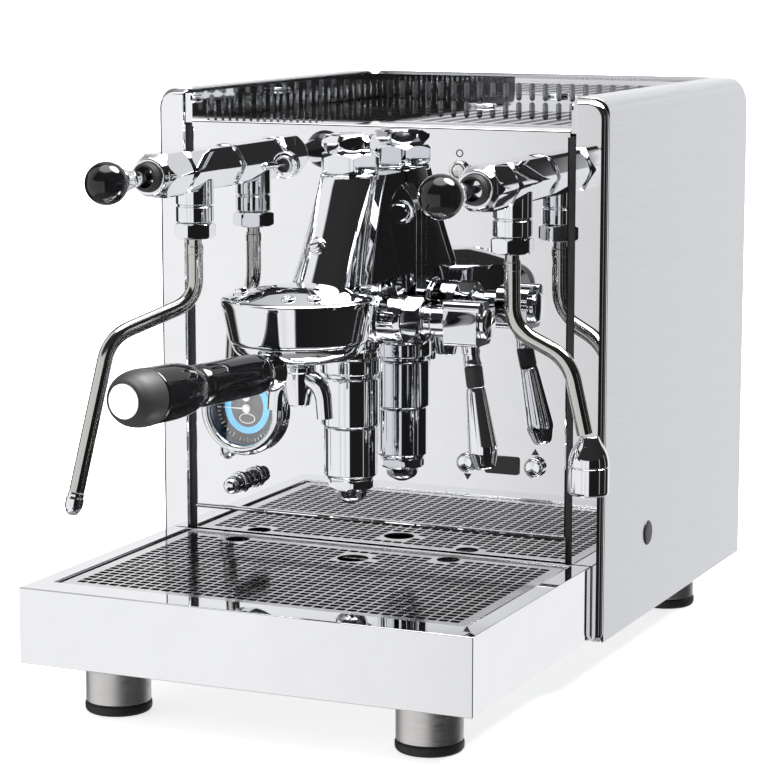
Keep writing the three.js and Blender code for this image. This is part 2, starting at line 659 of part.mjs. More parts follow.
// ---------------------------------------------------------------- assembly
piece('base_frame', baseFrame(), GALVANISED);
piece('left_side_panel', mirrored(sidePanel()), SATIN);
piece('right_side_panel', sidePanel(), SATIN);
piece('left_front_trim', mirrored(frontTrim()), MIRROR);
piece('right_front_trim', frontTrim(), MIRROR);
piece('front_panel', frontPanel(), MIRROR);
piece('splash_plate', splashPlate(), MIRROR);
piece('rear_panel', rearPanel(), SATIN);
piece('power_inlet', powerInlet(), BLACK_PLASTIC);
piece('cup_tray', cupTray(), MIRROR);
piece('cup_rail', cupRail(), MIRROR);
piece('water_tank', waterTank(), CLEAR_PLASTIC);
piece('tank_lid', tankLid(), MIRROR);
piece('drip_tray', dripTray(), MIRROR);
piece('drip_grille', dripGrille(), BRUSHED);

for (const [side, x] of [['left', -1], ['right', 1]]) {
  piece(`front_${side}_foot`, foot(), BRUSHED).position.set(x * FOOT.frontX, FOOT.frontY, 0);
  piece(`rear_${side}_foot`, foot(), BRUSHED).position.set(x * FOOT.backX, FOOT.backY, 0);
}

piece('group_body', groupBody(), CHROME);
piece('mushroom_cap', mushroomCap(), CHROME);
piece('infusion_chamber', infusionChamber(), CHROME);
piece('drain_valve', drainValve(), CHROME);
piece('cam_nut', camNut(), CHROME);
piece('shower_screen', showerScreen(), BRUSHED);
piece('lever_hub', leverHub(), CHROME);
piece('lever_grip', leverGrip(), CHROME);
piece('lever_sleeve', leverSleeve(), BLACK_RUBBER);

piece('portafilter_body', portafilterBody(), CHROME);
piece('filter_basket', filterBasket(), BRUSHED);
piece('portafilter_spout', portafilterSpout(), CHROME);
piece('portafilter_grip', portafilterGrip(), BLACK_GLOSS);
piece('grip_end_cap', gripEndCap(), BLACK_RUBBER);

for (const [tap, x] of [['steam', -TAP.x], ['water', TAP.x]]) {
  piece(`${tap}_valve_body`, tapBody(), CHROME).position.x = x;
  piece(`${tap}_cap_nut`, tapCapNut(), CHROME).position.x = x;
  piece(`${tap}_stem`, tapStem(), CHROME).position.x = x;
  piece(`${tap}_knob`, tapKnob(), BLACK_GLOSS).position.x = x;
  piece(`${tap}_outlet_nut`, outletNut(), CHROME).position.x = x;
}
piece('steam_wand', tapPipe(WAND.direction, WAND.corners, 18), CHROME).position.x = -TAP.x;
piece('steam_tip', steamTip(), CHROME).position.x = -TAP.x;
piece('water_pipe', tapPipe(SPOUT.direction, SPOUT.corners, 18), CHROME).position.x = TAP.x;
piece('water_nozzle', waterNozzle(), CHROME).position.x = TAP.x;

piece('toggle_switch', toggleSwitch(), CHROME);
piece('toggle_bat', toggleBat(), CHROME);
piece('pilot_lamp', pilotLamp(), LAMP);
piece('gauge_case', gaugeCase(), DIAL);
piece('boiler_needle', gaugeNeedle(3.7), WHITE);
piece('pump_needle', gaugeNeedle(-3.7), WHITE);
piece('pressure_adjuster', pressureAdjuster(), CHROME);
piece('down_button', pushButton(BUTTONS.down), CHROME);
piece('up_button', pushButton(BUTTONS.up), CHROME);
piece('display_window', displayWindow(), BLACK_PLASTIC);

piece('steam_boiler', steamBoiler(), BRASS);
piece('pump', pump(), BLACK_PLASTIC);
piece('control_box', slab(-115, -35, 40, 130, CASE.bottom + 3, 78), BLACK_PLASTIC);

const room = new THREE.Box3().setFromObject(machine, true);
machine.position.set(-(room.min.x + room.max.x) / 2, -(room.min.y + room.max.y) / 2, -room.min.z);

export default machine;
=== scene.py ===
"""Looks of a lever-group espresso machine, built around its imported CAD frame.

Lengths are millimetres in the shared frame (X right, Y back, Z up), and piece() turns them into metres.
"""
import math

import bmesh
import bpy
from mathutils import Matrix, Vector


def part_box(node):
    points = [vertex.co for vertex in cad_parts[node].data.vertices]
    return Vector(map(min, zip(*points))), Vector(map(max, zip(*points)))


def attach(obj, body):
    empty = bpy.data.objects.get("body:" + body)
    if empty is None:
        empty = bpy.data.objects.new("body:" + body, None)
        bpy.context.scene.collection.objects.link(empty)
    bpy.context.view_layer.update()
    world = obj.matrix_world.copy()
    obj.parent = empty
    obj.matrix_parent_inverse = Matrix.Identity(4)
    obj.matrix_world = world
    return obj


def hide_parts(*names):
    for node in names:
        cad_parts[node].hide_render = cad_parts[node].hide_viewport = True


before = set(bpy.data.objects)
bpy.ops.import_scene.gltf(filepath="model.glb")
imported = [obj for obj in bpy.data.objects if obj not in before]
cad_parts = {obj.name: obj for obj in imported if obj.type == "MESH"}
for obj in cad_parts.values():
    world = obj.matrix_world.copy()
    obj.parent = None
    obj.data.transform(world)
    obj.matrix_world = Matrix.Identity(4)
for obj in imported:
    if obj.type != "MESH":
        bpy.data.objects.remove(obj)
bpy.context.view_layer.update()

MM = 0.001
SHEET = 1.5  # thickness of the folded steel
SKIN = 0.08  # the bright face of a perforated sheet; the hole walls under it are coloured black as painted shade
LEFT_SPREAD = 1.5  # how far the left sheet's face stands out from its CAD box

# The camera stands in front of the machine, to its right and a little above it.
CAMERA_AT = Vector((692.9, -1535.0, 451.2))
CAMERA_YAW = math.radians(24.12)
CAMERA_DOWN = math.radians(9.18)
CAMERA_LENS = 127.4


class Box:
    """A CAD node's box at rest, in millimetres."""

    def __init__(self, node):
        low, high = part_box(node)
        self.x0, self.y0, self.z0 = (value / MM for value in low)
        self.x1, self.y1, self.z1 = (value / MM for value in high)
        self.cx, self.cy, self.cz = (self.x0 + self.x1) / 2, (self.y0 + self.y1) / 2, (self.z0 + self.z1) / 2


BOX = {name: Box(name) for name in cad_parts}


# ---------------------------------------------------------------- outlines
def arc(cx, cy, radius, start, end, steps):
    """Points on an arc, with its angles in degrees."""
    angles = [math.radians(start + (end - start) * i / steps) for i in range(steps + 1)]
    return [(cx + radius * math.cos(a), cy + radius * math.sin(a)) for a in angles]


def rounded_rectangle(x0, x1, y0, y1, radius, steps=6):
    """Corner radii run from the lower left one, anticlockwise. One number rounds all four."""
    radii = [radius] * 4 if isinstance(radius, (int, float)) else radius
    points = []
    for (x, y, toward_x, toward_y, start), r in zip(
        [(x0, y0, 1, 1, 180), (x1, y0, -1, 1, 270), (x1, y1, -1, -1, 0), (x0, y1, 1, -1, 90)], radii
    ):
        points += arc(x + toward_x * r, y + toward_y * r, r, start, start + 90, steps) if r else [(x, y)]
    return points


def slot_outline(x, y, half_x, half_y, steps=3):
    return rounded_rectangle(x - half_x, x + half_x, y - half_y, y + half_y, min(half_x, half_y) * 0.98, steps)


def circle(x, y, radius, steps=32):
    return arc(x, y, radius, 0, 360 * (1 - 1 / steps), steps - 1)


def eased(outline, radius, steps=3):
    """The outline with its inner corners rounded. A third number in a point is that corner's own radius."""
    points = [outline[0][:2]]
    for before, corner, after in zip(outline, outline[1:], outline[2:]):
        a, b, c = Vector(before[:2]), Vector(corner[:2]), Vector(after[:2])
        asked = corner[2] if len(corner) > 2 else radius
        if asked <= 0 or min((a - b).length, (c - b).length) < 1e-6:
            points.append(tuple(b))
            continue
        back = min(asked, 0.48 * (a - b).length, 0.48 * (c - b).length)
        start, end = b + (a - b).normalized() * back, b + (c - b).normalized() * back
        for i in range(steps + 1):
            t = i / steps
            points.append(tuple(start * (1 - t) ** 2 + b * 2 * t * (1 - t) + end * t**2))
    return points + [outline[-1][:2]]


# ---------------------------------------------------------------- bodies: (points, faces) in millimetres
def loft(rings, capped=True, closed=False):
    """Joins rings of equal length. closed also joins the last ring to the first."""
    size = len(rings[0])
    points = [tuple(p) for ring in rings for p in ring]
    faces = []
    for k in range(len(rings) if closed else len(rings) - 1):
        low, high = k * size, (k + 1) % len(rings) * size
        for i in range(size):
            j = (i + 1) % size
            faces.append((low + i, low + j, high + j, high + i))
    if capped and not closed:
        faces += [tuple(range(size))[::-1], tuple(range(len(points) - size, len(points)))]
    return points, faces


def turned(outline, radius=0.5, sides=64, closed=False):
    """A body turned about Z from [radius, height] points whose corners are eased."""
    outline = eased(outline, radius)
    thin = 0.02
    directions = [(math.cos(2 * math.pi * i / sides), math.sin(2 * math.pi * i / sides)) for i in range(sides)]
    rings = [[(max(r, thin) * c, max(r, thin) * s, z) for c, s in directions] for r, z in outline]
    return loft(rings, capped=not closed, closed=closed)


def hexagon(flats, z0, z1, low=1.2, high=1.2, per_flat=12):
    """A hexagonal bar about Z with turned chamfers that reach low and high along its corners."""
    inner, corner = flats * 0.485, flats / math.sqrt(3) * 0.988
    rings = [[], [], [], []]
    for i in range(6 * per_flat):
        angle = 2 * math.pi * i / (6 * per_flat)
        from_flat = (angle % (math.pi / 3)) - math.pi / 6
        r = min(flats / 2 / math.cos(from_flat), corner)
        reach = (r - inner) / (corner - inner)
        c, s = math.cos(angle), math.sin(angle)
        rings[0].append((inner * c, inner * s, z0))
        rings[1].append((r * c, r * s, z0 + low * reach))
        rings[2].append((r * c, r * s, z1 - high * reach))
        rings[3].append((inner * c, inner * s, z1))
    return loft(rings)


def swept(path, radius, sides=28):
    """A round rod along a path. The radius is one number or one for each point."""
    path = [Vector(p) for p in path]
    radii = [radius] * len(path) if isinstance(radius, (int, float)) else radius
    side = (path[1] - path[0]).orthogonal().normalized()
    rings = []
    for i, point in enumerate(path):
        along = (path[min(i + 1, len(path) - 1)] - path[max(i - 1, 0)]).normalized()
        side = (side - along * side.dot(along)).normalized()
        other = along.cross(side)
        turns = [2 * math.pi * k / sides for k in range(sides)]
        rings.append([point + (side * math.cos(a) + other * math.sin(a)) * radii[i] for a in turns])
    return loft(rings)


def bent(corners, setback, steps=10):
    """A path of straight runs joined by smooth bends."""
    corners = [Vector(c) for c in corners]
    path = [corners[0]]
    for before, corner, after in zip(corners, corners[1:], corners[2:]):
        start = corner + (before - corner).normalized() * setback
        end = corner + (after - corner).normalized() * setback
        for i in range(steps + 1):
            t = i / steps
            path.append(start * (1 - t) ** 2 + corner * 2 * t * (1 - t) + end * t**2)
    return path + [corners[-1]]


def plate(outline, z0, z1, holes=()):
    """A flat sheet between two heights, with holes through it."""
    curve = bpy.data.curves.new("plate", "CURVE")
    curve.dimensions = "2D"
    curve.fill_mode = "BOTH"
    curve.extrude = (z1 - z0) / 2
    for loop in [outline, *holes]:
        spline = curve.splines.new("POLY")
        spline.points.add(len(loop) - 1)
        spline.points.foreach_set("co", [v for x, y in loop for v in (x, y, 0, 1)])
        spline.use_cyclic_u = True
    thing = bpy.data.objects.new("plate", curve)
    mesh = bpy.data.meshes.new_from_object(thing)
    bpy.data.objects.remove(thing)
    body = bmesh.new()
    body.from_mesh(mesh)
    bmesh.ops.remove_doubles(body, verts=body.verts, dist=1e-3)
    middle = (z0 + z1) / 2
    points = [(v.co.x, v.co.y, v.co.z + middle) for v in body.verts]
    faces = [tuple(v.index for v in f.verts) for f in body.faces]
    body.free()
    bpy.data.meshes.remove(mesh)
    return points, faces


def block(x0, x1, y0, y1, z0, z1):
    rectangle = [(x0, y0), (x1, y0), (x1, y1), (x0, y1)]
    return loft([[(x, y, z) for x, y in rectangle] for z in (z0, z1)])


class Shape:
    """One mesh gathered from bodies."""

    def __init__(self, *bodies):
        self.points, self.faces = [], []
        for body in bodies:
            self.add(body)

    def add(self, body, where=None):
        start = len(self.points)
        where = where or Matrix.Identity(4)
        self.points += [where @ Vector(p) for p in body[0]]
        self.faces += [[start + i for i in face] for face in body[1]]
        return self

    def moved(self, where):
        self.points = [where @ p for p in self.points]
        return self


def at(x, y, z):
    return Matrix.Translation((x, y, z))


TO_FRONT = Matrix.Rotation(math.pi / 2, 4, "X")  # +Z becomes -Y, and a drawing's y becomes z
TO_RIGHT = Matrix.Rotation(math.pi / 2, 4, "Y")  # +Z becomes +X
# A drawing's (x, y) becomes (y, z), and its height becomes x.
ON_SIDE = Matrix(((0, 0, 1, 0), (1, 0, 0, 0), (0, 1, 0, 0), (0, 0, 0, 1)))


def aimed(direction, start):
    """Turns +Z to a direction and moves the origin to a start."""
    return at(*start) @ Vector((0, 0, 1)).rotation_difference(Vector(direction)).to_matrix().to_4x4()


# ---------------------------------------------------------------- materials
def material(name, color, metallic, roughness, **settings):
    """A shader whose roughness varies a little and whose surface has a fine bump, both from noise."""
    made = bpy.data.materials.new(name)
    made.use_nodes = True
    nodes, links = made.node_tree.nodes, made.node_tree.links
    shader = nodes["Principled BSDF"]
    shader.inputs["Metallic"].default_value = metallic
    shader.inputs["IOR"].default_value = settings.get("ior", 1.5)
    shader.inputs["Coat Weight"].default_value = settings.get("coat", 0)
    shader.inputs["Coat Roughness"].default_value = 0.04
    shader.inputs["Transmission Weight"].default_value = settings.get("transmission", 0)
    shader.inputs["Emission Strength"].default_value = settings.get("glow", 0)
    shader.inputs["Emission Color"].default_value = (*color, 1)
    place = nodes.new("ShaderNodeTexCoord")
    stretch = nodes.new("ShaderNodeMapping")
    stretch.inputs["Scale"].default_value = settings.get("grain", (1, 1, 1))
    links.new(place.outputs["Object"], stretch.inputs["Vector"])

    def noise(scale, detail):
        texture = nodes.new("ShaderNodeTexNoise")
        texture.inputs["Scale"].default_value = scale
        texture.inputs["Detail"].default_value = detail
        links.new(stretch.outputs["Vector"], texture.inputs["Vector"])
        return texture.outputs["Fac"]

    def between(source, low, high, socket):
        ranged = nodes.new("ShaderNodeMapRange")
        ranged.inputs["From Min"].default_value = 0.3
        ranged.inputs["From Max"].default_value = 0.7
        ranged.inputs["To Min"].default_value = low
        ranged.inputs["To Max"].default_value = high
        links.new(source, ranged.inputs["Value"])
        links.new(ranged.outputs["Result"], socket)

    wear = noise(settings.get("wear_scale", 30), 3)
    spread = settings.get("spread", 0.3)
    between(wear, roughness * (1 - spread), roughness * (1 + spread), shader.inputs["Roughness"])
    tint = nodes.new("ShaderNodeMix")
    tint.data_type = "RGBA"
    shade = 1 - settings.get("shade", 0.06)
    tint.inputs["A"].default_value = (*[c * shade for c in color], 1)
    tint.inputs["B"].default_value = (*color, 1)
    links.new(noise(settings.get("tint_scale", 60), 4), tint.inputs["Factor"])
    links.new(tint.outputs["Result"], shader.inputs["Base Color"])
    bump = nodes.new("ShaderNodeBump")
    bump.inputs["Strength"].default_value = settings.get("bump", 0.05)
    bump.inputs["Distance"].default_value = settings.get("bump_depth", 0.0002)
    links.new(noise(settings.get("bump_scale", 400), 2), bump.inputs["Height"])
    links.new(bump.outputs["Normal"], shader.inputs["Normal"])
    return made


MIRROR = material("polished_sheet", (0.905, 0.91, 0.925), 1, 0.02, bump=0.008, bump_scale=9, bump_depth=0.0004)
CHROME = material("chrome", (0.86, 0.87, 0.89), 1, 0.035, bump=0.02, bump_scale=40)
SATIN = material(
    "satin_sheet", (0.69, 0.7, 0.72), 1, 0.22, grain=(1, 1, 60), bump=0.012, bump_scale=30, wear_scale=20, spread=0.1
)
BRUSHED = material("brushed_steel", (0.76, 0.745, 0.73), 1, 0.5, grain=(1, 1, 80), bump=0.25, bump_scale=25)
TURNED = material("bright_steel", (0.8, 0.8, 0.81), 1, 0.13, bump=0.06, bump_scale=300)
PIPE_STEEL = material("pipe_steel", (0.6, 0.585, 0.56), 1, 0.12, bump=0.05, bump_scale=200)
GALVANISED = material(
    "galvanised_sheet", (0.52, 0.54, 0.56), 1, 0.42, tint_scale=120, shade=0.35, bump=0.2, bump_scale=90
)
BRASS = material("brass", (0.72, 0.55, 0.26), 1, 0.25, tint_scale=25, shade=0.3, bump=0.15, bump_scale=60)
BLACK_GLOSS = material(
    "black_gloss", (0.004, 0.004, 0.0045), 0, 0.045, ior=1.48, bump=0.01, bump_scale=50, shade=0.2
)
# Matt black plastic, and also painted shade on the walls of the cup tray's vents and the drip grille's holes.
BLACK_MATT = material("black_plastic", (0.012, 0.012, 0.013), 0, 0.38, bump=0.3, bump_scale=1500, shade=0.25)
RUBBER = material("rubber", (0.013, 0.013, 0.014), 0, 0.55, bump=0.35, bump_scale=900, shade=0.3)
CLEAR = material(
    "clear_plastic", (0.82, 0.87, 0.9), 0, 0.12, transmission=0.9, ior=1.49, bump=0.05, bump_scale=60
)
GLASS = material("gauge_glass", (1, 1, 1), 0, 0.01, transmission=1, ior=1.45, bump=0, shade=0.0)
DIAL = material("dial_print", (0.085, 0.092, 0.1), 0, 0.5, tint_scale=300, shade=0.15, bump_scale=900)
DIAL_DARK = material("dial_edge", (0.012, 0.014, 0.017), 0, 0.5, tint_scale=300, shade=0.2)
GAUGE_WALL = material("gauge_wall_blue", (0.02, 0.06, 0.12), 0, 0.25, shade=0.3)
# The dial's blue ring glows a little: painted light, as it is no lamp.
BLUE = material("dial_ring", (0.14, 0.58, 0.9), 0, 0.4, glow=0.3, shade=0.1)
# White paint for ticks, needles, the dial's oval and the grip's end disc, with a faint glow that is painted light.
WHITE = material("white_paint_with_painted_glow", (0.9, 0.9, 0.89), 0, 0.4, tint_scale=200, shade=0.05, bump_scale=700, glow=0.15)
GREEN = material("green_paint", (0.06, 0.42, 0.2), 0, 0.4, shade=0.15)
RED = material("red_paint", (0.65, 0.04, 0.03), 0, 0.4, shade=0.15)
# Black print for the panel's signs, and painted shade in screw slots, the spout mouths, the steam tip's holes and the
# switch's well.
INK_AND_PAINTED_SHADE = material("panel_ink_and_painted_shade", (0.02, 0.02, 0.022), 0, 0.45, shade=0.3)
LENS = material("lamp_lens", (0.78, 0.78, 0.76), 0, 0.08, transmission=0.5, ior=1.49, shade=0.2)


# ---------------------------------------------------------------- pieces
def piece(name, shape, look, body="machine", nodes=(), bevel=0.0, segments=2, sharp=28):
    """Makes one piece from a Shape or a body and puts it on a CAD body, in place of CAD nodes."""
    if not isinstance(shape, Shape):
        shape = Shape(shape)
    mesh = bpy.data.meshes.new(name)
    mesh.from_pydata([p * MM for p in shape.points], [], shape.faces)
    cleaned = bmesh.new()
    cleaned.from_mesh(mesh)
    bmesh.ops.recalc_face_normals(cleaned, faces=cleaned.faces)
    cleaned.to_mesh(mesh)
    cleaned.free()
    mesh.materials.append(look)
    mesh.shade_smooth()
    mesh.set_sharp_from_angle(angle=math.radians(sharp))
    made = bpy.data.objects.new(name, mesh)
    bpy.context.scene.collection.objects.link(made)
    if bevel:
        rounding = made.modifiers.new("edges", "BEVEL")
        rounding.width = bevel * MM
        rounding.segments = segments
        rounding.limit_method = "ANGLE"
        rounding.angle_limit = math.radians(sharp + 4)
        rounding.harden_normals = True
    else:
        weighted = made.modifiers.new("normals", "WEIGHTED_NORMAL")
        weighted.keep_sharp = True
    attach(made, body)
    if nodes:
        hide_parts(*nodes)
    return made


# ---------------------------------------------------------------- camera, light and floor
def camera():
    data = bpy.data.cameras.new("camera")
    data.lens = CAMERA_LENS
    data.clip_end = 50
    made = bpy.data.objects.new("camera", data)
    made.location = CAMERA_AT * MM
    made.rotation_euler = (math.pi / 2 - CAMERA_DOWN, 0, CAMERA_YAW)
    bpy.context.scene.collection.objects.link(made)
    bpy.context.scene.camera = made


def studio():
    """A surround of white and black cards around the machine, drawn by direction alone."""
    world = bpy.data.worlds.new("studio")
    bpy.context.scene.world = world
    world.use_nodes = True
    nodes, links = world.node_tree.nodes, world.node_tree.links
    nodes.clear()

    def node(kind, **inputs):
        made = nodes.new(kind)
        for name, value in inputs.items():
            socket = made.inputs[int(name[1:])] if name.startswith("i") and name[1:].isdigit() else made.inputs[name]
            if isinstance(value, bpy.types.NodeSocket):
                links.new(value, socket)
            else:
                socket.default_value = value
        return made

    def calculated(operation, first, second=0.0):
        made = node("ShaderNodeMath", i0=first, i1=second)
        made.operation = operation
        return made.outputs[0]

    direction = node("ShaderNodeTexCoord").outputs["Generated"]

    def along(axis):
        made = node("ShaderNodeVectorMath", i0=direction, i1=axis)
        made.operation = "DOT_PRODUCT"
        return made.outputs["Value"]

    front = (math.sin(CAMERA_YAW), -math.cos(CAMERA_YAW), 0)
    left = (-math.cos(CAMERA_YAW), -math.sin(CAMERA_YAW), 0)
    around = calculated("ARCTAN2", along(left), along(front))
    turn = calculated("ADD", calculated("MULTIPLY", around, 0.5 / math.pi), 0.5)
    height = calculated("MULTIPLY", calculated("ARCSINE", along((0, 0, 1))), 180 / math.pi)

    def band(stops):
        """A ring of cards: [degrees to the left of the front view, brightness] at each change."""
        ramp = node("ShaderNodeValToRGB", Fac=turn)
        elements = ramp.color_ramp.elements
        for i, (degrees, value) in enumerate(stops):
            spot = (degrees + 180) / 360
            element = elements[i] if i < 2 else elements.new(spot)
            element.position = spot
            element.color = (value, value, value * 1.01, 1)
        return ramp.outputs["Color"]

    def stacked(lower, upper, start, end):
        rise = node("ShaderNodeMapRange", Value=height)
        rise.inputs["From Min"].default_value = start
        rise.inputs["From Max"].default_value = end
        mixed = node("ShaderNodeMix")
        mixed.data_type = "RGBA"
        links.new(rise.outputs["Result"], mixed.inputs["Factor"])
        for value, socket in ((lower, mixed.inputs["A"]), (upper, mixed.inputs["B"])):
            if isinstance(value, tuple):
                socket.default_value = value
            else:
                links.new(value, socket)
        return mixed.outputs["Result"]

    def grey(value):
        return (value, value, value, 1)

    floor_level = stacked(grey(TABLE), band(BASE_CARDS), *TABLE_EDGE)
    low = stacked(floor_level, band(LOW_CARDS), *BASE_TOP)
    around_machine = stacked(low, band(HIGH_CARDS), *CARD_TOP)
    with_ceiling = stacked(around_machine, grey(CEILING), *CEILING_EDGE)
    sideways, upwards = math.radians(SOFTBOX_AT[0]) + CAMERA_YAW, math.radians(SOFTBOX_AT[1])
    axis = (math.cos(upwards) * math.sin(sideways), -math.cos(upwards) * math.cos(sideways), math.sin(upwards))
    inside = node("ShaderNodeMapRange", Value=along(axis))
    inside.inputs["From Min"].default_value = math.cos(math.radians(SOFTBOX_RADIUS[1]))
    inside.inputs["From Max"].default_value = math.cos(math.radians(SOFTBOX_RADIUS[0]))
    with_softbox = node("ShaderNodeMix")
    with_softbox.data_type = "RGBA"
    links.new(inside.outputs["Result"], with_softbox.inputs["Factor"])
    links.new(with_ceiling, with_softbox.inputs["A"])
    with_softbox.inputs["B"].default_value = grey(SOFTBOX)
    lit = node("ShaderNodeBackground", Color=with_softbox.outputs["Result"], Strength=1.0)
    plain = node("ShaderNodeBackground", Color=(1, 1, 1, 1), Strength=1.0)
    seen = node("ShaderNodeLightPath").outputs["Is Camera Ray"]
    mixed = node("ShaderNodeMixShader", i0=seen)
    links.new(lit.outputs[0], mixed.inputs[1])
    links.new(plain.outputs[0], mixed.inputs[2])
    output = node("ShaderNodeOutputWorld")
    links.new(mixed.outputs[0], output.inputs["Surface"])


# Cards by angle to the left of the camera's side, then brightness.
BASE_CARDS = [
    (-180, 0.95), (-128, 0.95), (-124, 0.02), (2.5, 0.012), (5, 0.97), (15, 0.97), (22, 0.85), (30, 0.97), (110, 0.95),
    (118, 0.02), (150, 0.02), (160, 0.9), (180, 0.95),
]
LOW_CARDS = [
    (-180, 0.95), (-128, 0.95), (-124, 0.02), (-100, 0.015), (-99, 0.6), (-97, 0.6), (-96, 0.015), (-59, 0.015),
    (-58, 0.7), (-56.5, 0.7), (-55.5, 0.012), (2.5, 0.012), (5, 0.97), (15, 0.97), (22, 0.8), (30, 0.97), (41, 0.95),
    (43, 0.66), (47, 0.88), (52, 0.97), (110, 0.95), (118, 0.02), (150, 0.02), (160, 0.9), (180, 0.95),
]
HIGH_CARDS = [
    (-180, 0.75), (-132, 0.75), (-122, 0.02), (0, 0.03), (71, 0.03), (78, 0.95), (126, 0.95), (132, 0.04),
    (150, 0.04), (165, 0.5), (180, 0.75),
]
TABLE = 0.33
TABLE_EDGE = (-48, -42)
BASE_TOP = (-20, -17)
CARD_TOP = (14, 15.5)
CEILING = 5.0
CEILING_EDGE = (60, 68)
SOFTBOX = 25.0
SOFTBOX_AT = (115, 58)
SOFTBOX_RADIUS = (17, 20)


def light(name, where, size, power, aim=(0, 0, 0)):
    data = bpy.data.lights.new(name, "AREA")
    data.shape = "RECTANGLE"
    data.size, data.size_y = size
    data.energy = power
    made = bpy.data.objects.new(name, data)
    made.location = where
    made.rotation_euler = (Vector(aim) - Vector(where)).to_track_quat("-Z", "Y").to_euler()
    made.visible_glossy = False
    bpy.context.scene.collection.objects.link(made)
    return made


def floor():
    half = 12000
    shape = Shape(loft([rounded_like(half, z) for z in (-20, 0)]))
    mesh = bpy.data.meshes.new("floor")
    mesh.from_pydata([p * MM for p in shape.points], [], shape.faces)
    look = material("pale_floor", (0.93, 0.93, 0.93), 0, 0.7, tint_scale=2, shade=0.01, bump=0.02, glow=0.8)
    mesh.materials.append(look)
    made = bpy.data.objects.new("floor", mesh)
    made.visible_glossy = False  # the cards stand for what polished steel sees
    bpy.context.scene.collection.objects.link(made)


def rounded_like(half, z):
    return [(x, y, z) for x, y in ((-half, -half), (half, -half), (half, half), (-half, half))]


camera()
studio()
floor()
light("overhead", (0.1, -0.3, 1.9), (1.3, 1.0), 42, aim=(0, 0, 0.1))
light("fill", (-1.6, -1.4, 1.2), (1.4, 1.4), 12, aim=(0, 0, 0.15))
bpy.context.scene.view_settings.view_transform = "Standard"


# ---------------------------------------------------------------- casing
def side_panel(name, outward):
    """A folded sheet whose top and back edges roll inwards, with rounded corners."""
    box = BOX[name]
    roll, corner, steps = 10, 22, 8
    outer = box.x1 if outward > 0 else box.x0 - LEFT_SPREAD
    inner = box.x0 if outward > 0 else box.x1
    front = box.y0 + 5.6  # the front trim's rolled edge covers the sheet's front edge
    back, top = box.y1 + 3.5, box.z1 + 0.7
    edge = [(front, top)]
    edge += [(x, y) for x, y in arc(back - corner, top - corner, corner, 90, 0, 12)]
    edge += [(back, box.z0)]
    inward = [(0, -1)] + [(-math.cos(a), -math.sin(a)) for a in [math.radians(90 - 7.5 * i) for i in range(13)]]
    inward += [(-1, 0)]
    rings = []
    for k in range(steps + 1):
        angle = math.pi / 2 * k / steps
        inset = roll * (1 - math.sin(angle))
        across = outer - outward * roll * (1 - math.cos(angle))
        rings.append([(across, y + inset * n[0], z + inset * n[1]) for (y, z), n in zip(edge, inward)])
    rings.append([(inner, y, z) for y, z in edge])
    points, faces = [], []
    size = len(edge)
    for ring in rings:
        points += ring
    for k in range(len(rings) - 1):
        faces += [(k * size + i, k * size + i + 1, (k + 1) * size + i + 1, (k + 1) * size + i) for i in range(size - 1)]
    points.append((outer, front, box.z0))
    points[size - 1] = (outer, back - roll, box.z0)
    faces.append(tuple(range(size)) + (len(points) - 1,))
    made = piece(f"{name}_sheet", (points, faces), SATIN, nodes=[name], sharp=40)
    made.modifiers.clear()
    thick = made.modifiers.new("thickness", "SOLIDIFY")
    thick.thickness = SHEET * MM
    thick.offset = -1
    normals = made.modifiers.new("normals", "WEIGHTED_NORMAL")
    normals.keep_sharp = True
    if faces_inward(made.data, outward):
        made.data.flip_normals()


def faces_inward(mesh, outward):
    flat = max(mesh.polygons, key=lambda face: face.area)
    return flat.normal.x * outward < 0


def front_trim(name, outward):
    """A polished cover strip: its outer edge rolls round onto the side, its inner edge rolls in."""
    box = BOX[name]
    side = BOX[name.replace("front_trim", "side_panel")]
    outer_roll, inner_roll, corner, steps = 5.6, 2.6, 11.5, 10
    inner = box.x0 - 3.2 if outward > 0 else box.x1 + 1.4
    outer = side.x1 - 0.2 if outward > 0 else side.x0 - LEFT_SPREAD + 0.2
    foot = BOX["base_frame"].z0 + 1  # the strip's tail runs down beside the drip tray
    rings = []
    start = math.radians(28)
    for k in range(steps + 1):
        angle = start + (math.pi / 2 - start) * k / steps
        inset, back = 1 - math.sin(angle), math.cos(start) - math.cos(angle)
        x_in = inner + outward * inner_roll * inset
        x_out = outer - outward * outer_roll * inset
        large, small = corner - outer_roll * inset, 0.6
        radii = [small, 4, large, small] if outward > 0 else [4, small, small, large]
        outline = rounded_rectangle(
            min(x_in, x_out), max(x_in, x_out), foot + 0.6 * inset, box.z1 + 1.6 - outer_roll * inset, radii, 8
        )
        rings.append([(x, box.y0 + outer_roll * back, z) for x, z in outline])
    rings.append([(x, y + 0.7, z) for x, y, z in rings[-1]])
    piece(f"{name}_strip", loft(rings), MIRROR, nodes=[name], sharp=20)


